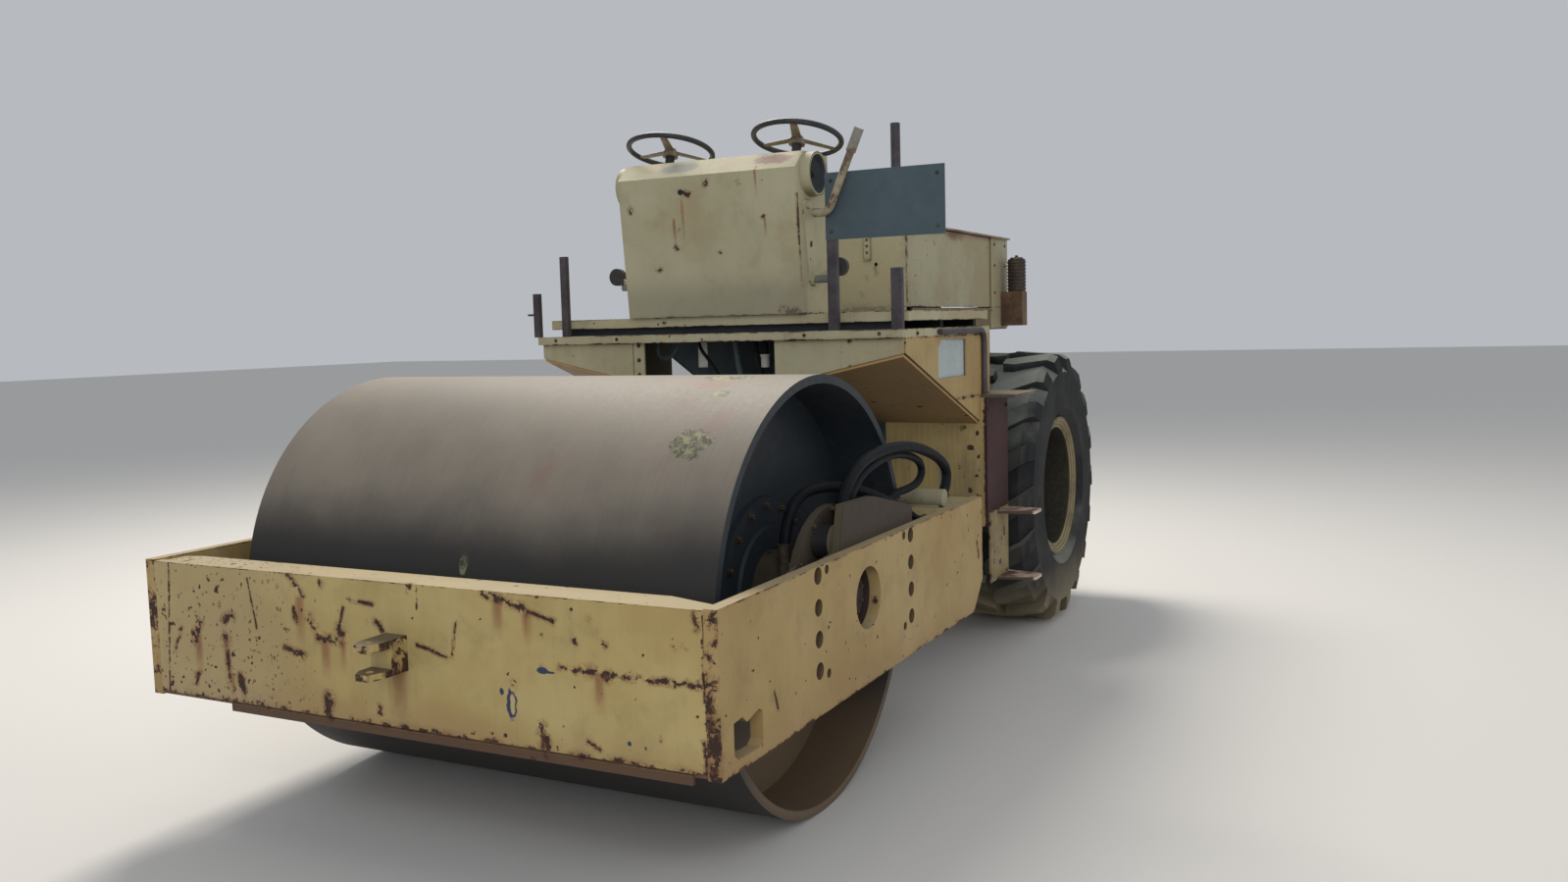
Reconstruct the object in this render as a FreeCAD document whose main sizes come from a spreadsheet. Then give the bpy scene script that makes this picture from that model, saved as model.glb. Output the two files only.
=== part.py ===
import FreeCAD, Part
import math
import os
import Sketcher

# Single-drum road roller. Origin on the ground under the articulation pin,
# front with the drum towards -Y, left side of the machine towards +X, +Z up.
doc = FreeCAD.newDocument("roadRoller")
sheet = doc.addObject("Spreadsheet::Sheet", "Dims")
V = FreeCAD.Vector

driving = (
    ("frameHalf", 1200), ("sidePlate", 45), ("frameFront", -2690), ("frameEnd", -280),
    ("frameTop", 990), ("frameBottom", 490), ("drumY", -1600), ("drumRadius", 800),
    ("shellThick", 32), ("headInset", 250), ("axleY", 1640),
    ("tyreRadius", 795), ("tyreWidth", 590), ("wheelX", 805), ("rimRadius", 405),
    ("deckHalf", 967), ("deckFront", -630), ("deckTop", 1750), ("deckDepth", 38),
    ("deckRear", 600), ("upperFront", -525), ("upperTop", 1830), ("upperDepth", 45),
    ("consoleHalf", 470), ("consoleTop", 2555), ("hoodHalf", 550), ("hoodFront", 500),
    ("hoodRear", 2330), ("hoodTop", 2300), ("doorSeam", 1970), ("panelThick", 10),
    ("pivotZ", 740), ("railOuter", 430), ("railTop", 1000), ("railBottom", 560),
    ("tankHalf", 1000), ("tankFront", 440), ("tankRear", 800), ("tankBottom", 730),
    ("ledgeTop", 1405), ("wheelRingRadius", 205), ("cylinderRadius", 50),
    ("hoseRadius", 17),
)
D = {}
for row, (alias, value) in enumerate(driving, 1):
    cell = "B%d" % row
    sheet.set("A%d" % row, alias)
    sheet.set(cell, str(value))
    sheet.setAlias(cell, alias)
    D[alias] = value
doc.recompute()

# what follows from the driving sizes: pieces that move out with the frame, the platform or the hood
drumHalf = D["frameHalf"] - 180
frameOut = D["frameHalf"] - 1200
deckOut = D["deckHalf"] - 967
hoodOut = D["hoodHalf"] - 550


def bind(obj, prop, value):
    # numbers are set as they are, text is an expression on the sheet's names
    if isinstance(value, str):
        text = value
        for alias in sorted(D, key=len, reverse=True):
            text = text.replace(alias, "Dims." + alias) if ("Dims." + alias) not in text else text
        obj.setExpression(prop, text)
        return numberOf(value)
    return value


def numberOf(value):
    if not isinstance(value, str):
        return float(value)
    total = 0.0
    sign = 1.0
    for token in value.split():
        if token in "+-":
            sign = 1.0 if token == "+" else -1.0
            continue
        factor = 1.0
        for piece in token.split("*"):
            if piece.startswith("-"):
                factor = -factor
                piece = piece[1:]
            factor *= D[piece] if piece in D else float(piece)
        total += sign * factor
        sign = 1.0
    return total


def place(obj, at, rotation=None):
    numbers = [numberOf(value) for value in at]
    obj.Placement = FreeCAD.Placement(V(*numbers), rotation or FreeCAD.Rotation())
    for axis, value in zip("xyz", at):
        bind(obj, "Placement.Base." + axis, value)


def block(name, at, size):
    obj = doc.addObject("Part::Box", name)
    for prop, value in zip(("Length", "Width", "Height"), size):
        setattr(obj, prop, numberOf(value))
        bind(obj, prop, value)
    place(obj, at)
    return obj


def turnTo(direction):
    return FreeCAD.Rotation(V(0, 0, 1), V(*direction))


def rod(name, at, direction, radius, length):
    obj = doc.addObject("Part::Cylinder", name)
    obj.Radius = numberOf(radius)
    obj.Height = numberOf(length)
    bind(obj, "Radius", radius)
    bind(obj, "Height", length)
    place(obj, at, turnTo(direction))
    return obj


PLANES = {
    "YZ": ((0, 1, 0), (0, 0, 1), (1, 0, 0)),
    "XZ": ((1, 0, 0), (0, 0, 1), (0, -1, 0)),
    "XY": ((1, 0, 0), (0, 1, 0), (0, 0, 1)),
}
ALONG = {"YZ": (1, 0, 0), "XZ": (0, 1, 0), "XY": (0, 0, 1)}


def sketchOn(name, plane, start, points, circles=()):
    sketch = doc.addObject("Sketcher::SketchObject", name)
    xdir, ydir, zdir = PLANES[plane]
    at = [start if part else 0 for part in ALONG[plane]]
    place(sketch, at, FreeCAD.Rotation(V(*xdir), V(*ydir), V(*zdir), "ZXY"))
    count = len(points)
    for index in range(count):
        a = points[index]
        b = points[(index + 1) % count]
        sketch.addGeometry(Part.LineSegment(V(a[0], a[1], 0), V(b[0], b[1], 0)), False)
    for x, y, radius in circles:
        sketch.addGeometry(Part.Circle(V(x, y, 0), V(0, 0, 1), radius), False)
    return sketch


def plate(name, plane, start, thick, points, circles=()):
    # a flat sheet: outline and round holes drawn on a plane, drawn out by its thickness
    sketch = sketchOn(name + "_outline", plane, start, points, circles)
    obj = doc.addObject("Part::Extrusion", name)
    obj.Base = sketch
    obj.DirMode = "Custom"
    obj.Dir = V(*ALONG[plane])
    obj.Solid = True
    obj.LengthFwd = numberOf(thick)
    bind(obj, "LengthFwd", thick)
    return obj


def spun(name, plane, axis, centre, points, circles=()):
    # a closed half profile turned right round an axis through the centre
    sketch = sketchOn(name + "_profile", plane, 0 if plane != "XZ" else centre[1], points, circles)
    obj = doc.addObject("Part::Revolution", name)
    obj.Source = sketch
    obj.Axis = V(*axis)
    obj.Base = V(*centre)
    obj.Angle = 360
    obj.Solid = True
    return obj


def cut(name, base, *tools):
    tool = tools[0]
    if len(tools) > 1:
        tool = doc.addObject("Part::MultiFuse", name + "_tools")
        tool.Shapes = list(tools)
    obj = doc.addObject("Part::Cut", name)
    obj.Base = base
    obj.Tool = tool
    return obj


def join(name, *parts):
    obj = doc.addObject("Part::MultiFuse", name)
    obj.Shapes = list(parts)
    return obj


def gather(name, *parts):
    obj = doc.addObject("Part::Compound", name)
    obj.Links = list(parts)
    return obj


def mirrored(name, source):
    obj = doc.addObject("Part::Mirroring", name)
    obj.Source = source
    obj.Normal = V(1, 0, 0)
    obj.Base = V(0, 0, 0)
    return obj


def pipe(name, radius, points, bends, sides=0):
    # straight runs with an arc at each corner, swept by a round or many-sided section
    corners = [V(*point) for point in points]
    edges = []
    last = corners[0]
    for index in range(1, len(corners) - 1):
        before = (corners[index - 1] - corners[index]).normalize()
        after = (corners[index + 1] - corners[index]).normalize()
        half = before.getAngle(after) / 2.0
        reach = bends[index - 1] / math.tan(half)
        start = corners[index] + before * reach
        end = corners[index] + after * reach
        middle = (before + after).normalize()
        apex = corners[index] + middle * (bends[index - 1] / math.sin(half) - bends[index - 1])
        if (start - last).Length > 0.01:
            edges.append(Part.LineSegment(last, start).toShape())
        edges.append(Part.Arc(start, apex, end).toShape())
        last = end
    edges.append(Part.LineSegment(last, corners[-1]).toShape())
    heading = (corners[1] - corners[0]).normalize()
    ring = Part.Circle(corners[0], heading, radius)
    if sides:
        marks = [ring.value(2 * math.pi * step / sides) for step in range(sides)]
        section = Part.makePolygon(marks + marks[:1])
    else:
        section = Part.Wire([ring.toShape()])
    obj = doc.addObject("Part::Feature", name)
    obj.Shape = Part.Wire(edges).makePipeShell([section], True, False)
    return obj


nodes = []


def node(label, obj):
    obj.Label = label
    nodes.append((label, obj))
    return obj


# Front frame side plates
sideOutline = [(-2690, 490), (-2690, 990), (-280, 990), (-280, 620), (-410, 490)]
boltRows = (-159, -53, 53, 159)
sideHoles = [(D["drumY"], 800, 113)]
for column in (-422, 422):
    for offset in boltRows:
        sideHoles.append((D["drumY"] + column, 800 + offset, 29))
    inner = column - 70 * (1 if column > 0 else -1)
    sideHoles.append((D["drumY"] + inner, 968, 16))
    sideHoles.append((D["drumY"] + inner, 616, 16))
sidePlain = plate("side_plain", "YZ", "frameHalf - sidePlate", "sidePlate", sideOutline, sideHoles)
tieSlot = plate("tie_slot", "YZ", 1100 + frameOut, 200,
                [(-2612, 545), (-2590, 525), (-2455, 522), (-2432, 540), (-2432, 628),
                 (-2455, 640), (-2530, 622), (-2560, 645), (-2612, 640)])
frameSideLeft = node("frame_side_left", cut("frame_side_left", sidePlain, tieSlot))
frameSideRight = node("frame_side_right", mirrored("frame_side_right", frameSideLeft))

# Front cross plate with its lower flange and the top strip
frontPlate = block("front_plate", ("-frameHalf + sidePlate", "frameFront", 505),
                   ("2*frameHalf - 2*sidePlate", 35, 480))
frontFlange = block("front_flange", ("-frameHalf + sidePlate", "frameFront + 12", "frameBottom"),
                    ("2*frameHalf - 2*sidePlate", 190, 25))
frontStrip = plate("front_strip", "XY", 964, 16,
                   [(-1155 - frameOut, -2656), (1155 + frameOut, -2656), (1155 + frameOut, -2600), (960, -2535),
                    (-1085, -2535), (-1155 - frameOut, -2560)])
frontLip = block("front_lip", (-800, "frameFront + 6", 466), (1900, 12, 30))
node("frame_front_plate", join("frame_front_plate", frontPlate, frontFlange, frontLip, frontStrip))

# Rear cross box of the front frame with the bearing for the swing axle
beamOuter = block("beam_outer", ("-frameHalf + sidePlate", -700, 500),
                  ("2*frameHalf - 2*sidePlate", 410, 485))
beamInner = block("beam_inner", ("-frameHalf + sidePlate + 20", -680, 520),
                  ("2*frameHalf - 2*sidePlate - 40", 370, 445))
beamTube = rod("beam_tube", (0, -700, "pivotZ"), (0, 1, 0), 150, 410)
beamBore = rod("beam_bore", (0, -720, "pivotZ"), (0, 1, 0), 90, 450)
rearBeam = node("frame_rear_beam", cut("frame_rear_beam",
                join("beam_walls", cut("beam_shell", beamOuter, beamInner), beamTube), beamBore))

# Tow clevis on the front plate
earLine = [(-45, -2750), (45, -2750), (45, -2800), (25, -2850), (-25, -2850), (-45, -2815)]
clevisBody = block("clevis_body", (-45, "frameFront - 70", 700), (90, 70, 116))
clevisEars = [plate("clevis_ear%d" % index, "XY", z, thick, earLine, [(0, -2815, 14)])
              for index, (z, thick) in enumerate(((790, 26), (700, 22)))]
clevis = join("tow_clevis", clevisBody, *clevisEars)
node("tow_clevis", clevis)

# Drum with recessed ends
half = drumHalf
radius = D["drumRadius"]
inner = radius - D["shellThick"]
head = half - D["headInset"]
drumProfile = [(-half, inner), (-half, radius), (half, radius), (half, inner), (head, inner),
               (head, 352), (head + 22, 346), (head + 22, 240), (head + 34, 232), (head + 34, 150.06),
               (head - 70, 150.06), (head - 70, 260), (head - 30, 300), (head - 30, inner),
               (-head + 30, inner), (-head + 30, 300), (-head + 70, 260), (-head + 70, 150.06),
               (-head - 34, 150.06), (-head - 34, 232), (-head - 22, 240), (-head - 22, 346),
               (-head, 352), (-head, inner)]
drumSketch = [(x, z + 800) for x, z in drumProfile]
node("drum", spun("drum", "XZ", (1, 0, 0), (0, D["drumY"], 800), drumSketch))

# Drum carriers: bolted plate, rubber buffers, inner disc and the journal in the drum
def carrier(name):
    y = D["drumY"]
    out = frameOut
    outer = plate(name + "_plate", "YZ", 1125 + out, 30,
                  [(y - 460, 560), (y - 460, 962), (y - 150, 985), (y - 105, 1148), (y + 165, 1143),
                   (y + 545, 1058), (y + 560, 1040), (y + 560, 700), (y + 460, 560)], [(y, 800, 113)])
    parts = [outer, rod(name + "_disc", (1030 + out, y, 800), (1, 0, 0), 330, 30),
             rod(name + "_journal", (710 + out, y, 800), (1, 0, 0), 150, 350),
             rod(name + "_motor", (1060 + out, y, 800), (1, 0, 0), 88, 80)]
    for step in range(6):
        angle = math.radians(60 * step)
        parts.append(rod(name + "_buffer%d" % step,
                         (1060 + out, y + 255 * math.cos(angle), 800 + 255 * math.sin(angle)),
                         (1, 0, 0), 58, 65))
    # hose ports: name, place, direction, radius, length
    for port, at, way, size, length in (("outer", (1092, y - 32, 870), (0, 0, 1), 25, 50),
                                        ("inner", (1092, y + 32, 870), (0, 0, 1), 20, 50),
                                        ("lower", (930, y - 130, 850), (0, 0, 1), 23, 80),
                                        ("back", (1040, y + 545, 985), (0, 0, 1), 18, 27)):
        parts.append(rod(name + "_port_" + port, (at[0] + out, at[1], at[2]), way, size, length))
    parts.append(block(name + "_ear", (1015 + out, y + 525, 955), (111, 40, 30)))
    return join(name, *parts)


carrierLeft = node("drum_carrier_left", carrier("drum_carrier_left"))
node("drum_carrier_right", mirrored("drum_carrier_right", carrierLeft))
scraper = block("scraper_blade", (-990 - frameOut, -797, 900), (1980 + 2 * frameOut, 97, 12))
scraperStays = [block("scraper_stay%d" % index, (x, -770, 880), (14, 70, 20))
                for index, x in enumerate((-800 - frameOut, -280, 280, 800 + frameOut))]
node("scraper_bar", join("scraper_bar", scraper, *scraperStays))

# Hoses from the drum motor to the block on the rear cross box, the same on both sides
out = frameOut
blockParts = [rod("block_body", (905 + out, -610, 1024), (1, 0, 0), 38, 235),
              block("block_foot", (930 + out, -635, 985), (190, 50, 30)),
              rod("block_port_outer", (1092 + out, -580, 1024), (0, 1, 0), 26, 20)]
hoseBlock = join("hose_block_left", *blockParts)
hoseStay = plate("hose_stay_left", "XZ", -404, 6, [(1040 + out, 985), (1080 + out, 985), (1082 + out, 1150),
                 (1070 + out, 1168), (1050 + out, 1168), (1040 + out, 1150)])
lowerPort = rod("hose_port_left", (1092 + out, -700, 945), (0, -1, 0), 25, 20)
hoseSide = gather("hose_side_left", hoseBlock, hoseStay, lowerPort)
node("hose_blocks", gather("hose_blocks", hoseSide, mirrored("hose_side_right", hoseSide)))
hoseOuter = pipe("hose_outer", 22, [(1092 + out, -1632, 920), (1092 + out, -1632, 1230), (1092 + out, -1020, 1312),
                 (1092 + out, -438, 1172), (1092 + out, -450, 1024), (1092 + out, -560, 1024)],
                 [170, 600, 88, 60], sides=8)
hoseInner = pipe("hose_inner", 16.5, [(1092 + out, -1568, 920), (1092 + out, -1568, 1170), (1070 + out, -1100, 1270),
                 (1050 + out, -640, 1200), (1050 + out, -650, 1085), (1040 + out, -1055, 1085),
                 (1040 + out, -1055, 1012)], [130, 400, 60, 46, 40], sides=8)
hoseLower = pipe("hose_lower", 21, [(930 + out, -1730, 930), (930 + out, -1730, 1165), (1000 + out, -1400, 1188),
                 (1092 + out, -1010, 1045), (1092 + out, -810, 945), (1092 + out, -720.2, 945)],
                 [110, 300, 250, 90], sides=8)
hoses = gather("hoses_left", hoseOuter, hoseInner, hoseLower)
node("drum_hoses", gather("drum_hoses", hoses, mirrored("hoses_right", hoses)))

# Centre pivot: upright pin, swing axle and steering arms
hub = rod("pivot_hub", (0, 0, 576), (0, 0, 1), 130, 328)
pinTop = rod("pivot_pin", (0, 0, 500), (0, 0, 1), 59.95, 480)
nose = block("pivot_nose", (-130, -285, 590), (260, 240, 300))
axle = rod("swing_axle", (0, -735, "pivotZ"), (0, 1, 0), 89.95, 460)
washer = rod("swing_washer", (0, -735, "pivotZ"), (0, 1, 0), 125, 30)
arms = plate("steer_arms", "XY", 672, 42,
             [(-290, -150), (290, -150), (290, -60), (150, -20), (-150, -20), (-290, -60)])
node("centre_pivot", join("centre_pivot", hub, pinTop, nose, axle, washer, arms))

# Steering cylinders between the rear chassis and the centre pivot's arms
def cylinder(side):
    sx = 1 if side == "left" else -1
    rear = V(sx * 300, 500, 770)
    front = V(sx * 240, -105, 770)
    way = (front - rear).normalize()
    aim = (way.x, way.y, way.z)
    start = rear + way * 56
    body = rod("barrel_body_" + side, (start.x, start.y, start.z), aim, "cylinderRadius", 330)
    stem = rod("barrel_stem_" + side, (rear.x, rear.y, rear.z), aim, 26, 80)
    eye = rod("barrel_eye_" + side, (rear.x, rear.y, 742), (0, 0, 1), 48, 56)
    bore = rod("barrel_bore_" + side, (rear.x, rear.y, 730), (0, 0, 1), 22.05, 80)
    well = rear + way * 78
    wellCut = rod("barrel_well_" + side, (well.x, well.y, well.z), aim, 30.05, 400)
    barrel = cut("steer_barrel_" + side, join("barrel_solid_" + side, body, stem, eye), bore, wellCut)
    node("steer_barrel_" + side, barrel)
    rodStart = rear + way * 235
    length = (front - rodStart).Length
    shaft = rod("rod_shaft_" + side, (rodStart.x, rodStart.y, rodStart.z), aim, 30, length)
    knuckle = rod("rod_knuckle_" + side, (front.x, front.y, 714.4), (0, 0, 1), 46, 88)
    node("steer_rod_" + side, join("steer_rod_" + side, shaft, knuckle))


cylinder("left")
cylinder("right")

# Rear chassis: rails, cross members and the neck with its two ears
def railPair(name, y0, y1):
    left = block(name + "_left", ("railOuter - 40", y0, "railBottom"), (40, y1 - y0, "railTop - railBottom"))
    right = block(name + "_right", ("-railOuter", y0, "railBottom"), (40, y1 - y0, "railTop - railBottom"))
    return [left, right]


axleBore = rod("axle_bore", (-500, "axleY", "tyreRadius"), (1, 0, 0), 95.3, 1000)
rearCross = block("rear_cross", (-430, 2270, 560), (860, 60, 440))
node("chassis_rails", cut("chassis_rails", join("chassis_rails_solid", *(railPair("rail", 560, 2330) + [rearCross])),
                          axleBore))
neckParts = [block("front_cross", (-389.9, 560, 535), (779.8, 60, 465)),
             block("neck", (-160, 200, 535), (320, 362, 410))]
for index, z in enumerate((535, 905)):
    neckParts.append(rod("ear_nose%d" % index, (0, 0, z), (0, 0, 1), 132, 40))
    neckParts.append(block("ear_web%d" % index, (-132, 0, z), (264, 202, 40)))
for sx in (-1, 1):
    for index, z in enumerate((712, 803)):
        neckParts.append(rod("anchor_nose%d%d" % (index, sx + 1), (sx * 300, 500, z), (0, 0, 1), 46, 25))
        neckParts.append(block("anchor_web%d%d" % (index, sx + 1), (sx * 300 - 46, 500, z), (92, 64, 25)))
    neckParts.append(rod("anchor_pin%d" % (sx + 1), (sx * 300, 500, 700), (0, 0, 1), 22, 140))
earBore = rod("ear_bore", (0, 0, 520), (0, 0, 1), 60, 440)
node("chassis_neck", cut("chassis_neck", join("chassis_neck_solid", *neckParts), earBore))

# Rear axle with its differential and hub flanges
axleParts = [rod("axle_tube", (-635, "axleY", "tyreRadius"), (1, 0, 0), 95, 1270),
             block("axle_box", (-180, 1460, 620), (360, 360, 350))]
rearAxleSolid = join("rear_axle_solid", *axleParts)
node("rear_axle", rearAxleSolid)


# Rear rims: flanged barrel, dished disc and hub
wheelX = D["wheelX"]
axleY = D["axleY"]
axleZ = D["tyreRadius"]
lip = D["rimRadius"]
rimLine = [(-255, lip - 67), (-255, lip), (-238, lip), (-238, lip - 37), (238, lip - 37), (238, lip), (255, lip),
           (255, lip - 13), (232, lip - 60), (-110, lip - 60), (-150, 240), (-150, 60), (-168, 60), (-168, 240),
           (-128, lip - 67)]
rimTurned = spun("rim_turned", "XZ", (1, 0, 0), (0, axleY, axleZ),
                 [(x + wheelX, z + axleZ) for x, z in rimLine])
hubLine = [(-225, 95.06), (-225, 200), (-120, 200), (-120, 150), (20, 150), (34, 130), (34, 0),
           (-160, 0), (-160, 95.06)]
hubTurned = spun("rim_hub", "XZ", (1, 0, 0), (0, axleY, axleZ),
                 [(x + wheelX, z + axleZ) for x, z in hubLine])
rimLeft = node("rim_left", join("rim_left", rimTurned, hubTurned))
node("rim_right", mirrored("rim_right", rimLeft))

# Rear tyres: carcass turned round the axle, slanted lugs patterned on the tread
carcassLine = [(-237.4, lip - 36.5), (-237.4, lip + 1), (-285, lip + 55), (-285, 670), (-215, 740), (215, 740),
               (285, 670), (285, lip + 55), (237.4, lip + 1), (237.4, lip - 36.5)]
lugPlan = [(10, -34), (10, 32), (160, 128), (300, 204), (300, 112), (72, -34)]
lugSide = [(0, 670), (0, 795), (236, 770), (272, 742), (289, 664), (279, 600), (220, 600)]
lugCount = 18


def tyreShape():
    carcass = Part.Face(Part.makePolygon([V(x, 0, z) for x, z in carcassLine + carcassLine[:1]]))
    plan = Part.Face(Part.makePolygon([V(x, y, 560) for x, y in lugPlan + lugPlan[:1]]))
    side = Part.Face(Part.makePolygon([V(x, -60, z) for x, z in lugSide + lugSide[:1]]))
    lug = plan.extrude(V(0, 0, 260)).common(side.extrude(V(0, 300, 0)))
    lugs = []
    for source, first in ((lug, 0.0), (lug.mirror(V(0, 0, 0), V(1, 0, 0)), 0.5)):
        for step in range(lugCount):
            piece = source.copy()
            piece.rotate(V(0, 0, 0), V(1, 0, 0), 360.0 / lugCount * (step + first))
            lugs.append(piece)
    return carcass.revolve(V(0, 0, 0), V(1, 0, 0), 360).fuse(lugs)


tyreSolid = tyreShape()
for side, x in (("left", "wheelX"), ("right", "-wheelX")):
    tyre = doc.addObject("Part::Feature", "tyre_" + side)
    tyre.Shape = tyreSolid
    place(tyre, (x, "axleY", "tyreRadius"))
    node("tyre_" + side, tyre)

# Side tanks in front of the rear tyres with the ledges over them
tank = block("tank_left", (450, "tankFront", "tankBottom"), ("tankHalf - 450", "tankRear - tankFront", 660))
tankStay = block("tank_stay_left", (430, 600, 780), (20, 160, 60))
tankSide = join("tank_side_left", tank, tankStay)
node("side_tanks", gather("side_tanks", tankSide, mirrored("tank_side_right", tankSide)))
ledge = block("ledge_left", (450, 437, "ledgeTop - 15"), (700, 403, 15))
node("ledges", gather("ledges", ledge, mirrored("ledge_right", ledge)))

# Steps hung from the tanks
treadLine = [(1006, 560), (1195, 596), (1203, 612), (1203, 708), (1195, 724), (1006, 760)]
hangerLine = [(452, 436), (760, 436), (760, 800), (452, 800)]
stepParts = [plate("step_hanger", "YZ", 1000, 10, hangerLine)]
stepParts += [plate("step_tread%d" % index, "XY", z, 14, treadLine) for index, z in enumerate((780, 436))]
stepLeft = join("step_left", *stepParts)
node("steps", gather("steps", stepLeft, mirrored("step_right", stepLeft)))

# Gusset plates that carry the platform on the rails
gussetLine = [(562, 1000), (800, 1000), (800, 1700), (592, 1700), (592, 1742), (-300, 1742),
              (-300, 1645), (437, 1290), (562, 1290)]
gusset = plate("gusset_left", "YZ", 390, 25, gussetLine)
node("platform_gussets", gather("platform_gussets", gusset, mirrored("gusset_right", gusset)))

# Lower deck: edge channel under a flat plate
deckBody = block("deck_body", ("-deckHalf", "deckFront", "deckTop - deckDepth"),
                 ("2*deckHalf", "deckRear - deckFront", "deckDepth"))
deckHollow = block("deck_hollow", ("-deckHalf + 8", "deckFront + 8", 1690),
                   ("2*deckHalf - 16", "deckRear - deckFront - 16", 52))
node("lower_deck", cut("lower_deck", deckBody, deckHollow))

# Fascia under the front edge of the platform
fasciaLeft = plate("fascia_left", "XZ", -600, 10, [(335, 1742), (959 + deckOut, 1742), (959 + deckOut, 1645), (420, 1528), (335, 1528)])
fasciaRight = plate("fascia_right", "XZ", -600, 10, [(-430, 1742), (-959 - deckOut, 1742), (-959 - deckOut, 1645), (-430, 1530)])
fasciaStrip = plate("fascia_strip", "XZ", -600, 10, [(-425, 1742), (-425, 1529), (-366, 1529), (-366, 1742)])
node("platform_fascia", gather("platform_fascia", fasciaLeft, fasciaRight, fasciaStrip))

# Side walls of the platform with a cut-out, and the pale sheet behind it
wallLine = [(-590, 1645), (-590, 1712), (600, 1712), (600, 1405.5), (436, 1405.5), (436, 1270)]
wallSolid = plate("wall_left_plain", "YZ", 955 + deckOut, 12, wallLine)
wallHole = plate("wall_hole", "YZ", 940 + deckOut, 40,
                 [(-180, 1512), (-180, 1655), (-130, 1698), (220, 1690), (220, 1512)])
wallLeft = cut("wall_left", wallSolid, wallHole)
node("platform_sides", gather("platform_sides", wallLeft, mirrored("wall_right", wallLeft)))
pale = block("pale_left", (943 + deckOut, -210, 1507), (12, 450, 200))
node("side_sheets", gather("side_sheets", pale, mirrored("pale_right", pale)))

# Sloping guards under the platform
def guardSketch(name, y, low, high):
    return sketchOn(name, "XZ", y, [(420, low - 12), (954.7 + deckOut, high - 12), (954.7 + deckOut, high), (420, low)])


guard = doc.addObject("Part::Loft", "guard_left")
guard.Sections = [guardSketch("guard_front", -589.5, 1528, 1642), guardSketch("guard_back", 437, 1270, 1270)]
guard.Solid = True
guard.Ruled = True
node("slope_guards", gather("slope_guards", guard, mirrored("guard_right", guard)))

# Upper deck on its rubber mounts
upperBody = block("upper_body", ("-deckHalf + 9", "upperFront", "upperTop - upperDepth"),
                  ("2*deckHalf - 18", "deckRear - upperFront", "upperDepth"))
upperHollow = block("upper_hollow", ("-deckHalf + 17", "upperFront + 8", 1770),
                    ("2*deckHalf - 34", "deckRear - upperFront - 16", 52))
node("upper_deck", cut("upper_deck", upperBody, upperHollow))
crossRails = [block("deck_rail%d" % index, ("-deckHalf + 67", y, "deckTop"),
                    ("2*deckHalf - 134", 44, "upperTop - deckTop - 8"))
              for index, y in enumerate((-480, 40, 540))]
node("deck_mounts", gather("deck_mounts", *crossRails))

# Console: leaning front, bevelled top, hollow and open to the rear
consoleLine = [(-555, 1830), (-618, 2477), (-535, 2555), (-275, 2555), (-275, 1830)]
consoleHollow = [(-543, 1842), (-605, 2472), (-530, 2543), (-265, 2543), (-265, 1842)]
consoleOuter = plate("console_outer", "YZ", "-consoleHalf", "2*consoleHalf", consoleLine)
consoleInner = plate("console_inner", "YZ", "-consoleHalf + 12", "2*consoleHalf - 24", consoleHollow)
node("console_shell", cut("console_shell", consoleOuter, consoleInner))
lampTube = rod("lamp_tube", ("consoleHalf", -470, 2455), (1, 0, 0), 100, 45)
lampHollow = rod("lamp_hollow", ("consoleHalf + 8", -470, 2455), (1, 0, 0), 88, 60)
lamp = cut("lamp_left", lampTube, lampHollow)
node("lamp_housings", gather("lamp_housings", lamp, mirrored("lamp_right", lamp)))

armSheet = plate("arm_sheet", "YZ", 470, 8, [(-560, 2322), (-545, 2340), (-480, 2340), (-468, 2325),
                 (-428, 1985), (-445, 1955), (-480, 1955), (-500, 1975)], [(-463, 1983, 7)])
armRoller = rod("arm_roller", (470, -463, 1983), (1, 0, 0), 17, 92)
armBolt = rod("arm_bolt", (470, -515, 2312), (1, 0, 0), 15, 20)
armLink = plate("arm_link", "XZ", -470, 10, [(496, 1978), (612, 2020), (604, 2046), (490, 2000)])
armKnob = rod("arm_knob", (600, -436, 2036), (0, -1, 0), 42, 28)
armLeft = join("arm_left", armSheet, armRoller, armBolt, armLink, armKnob)
node("console_arms", gather("console_arms", armLeft, mirrored("arm_right", armLeft)))

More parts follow.
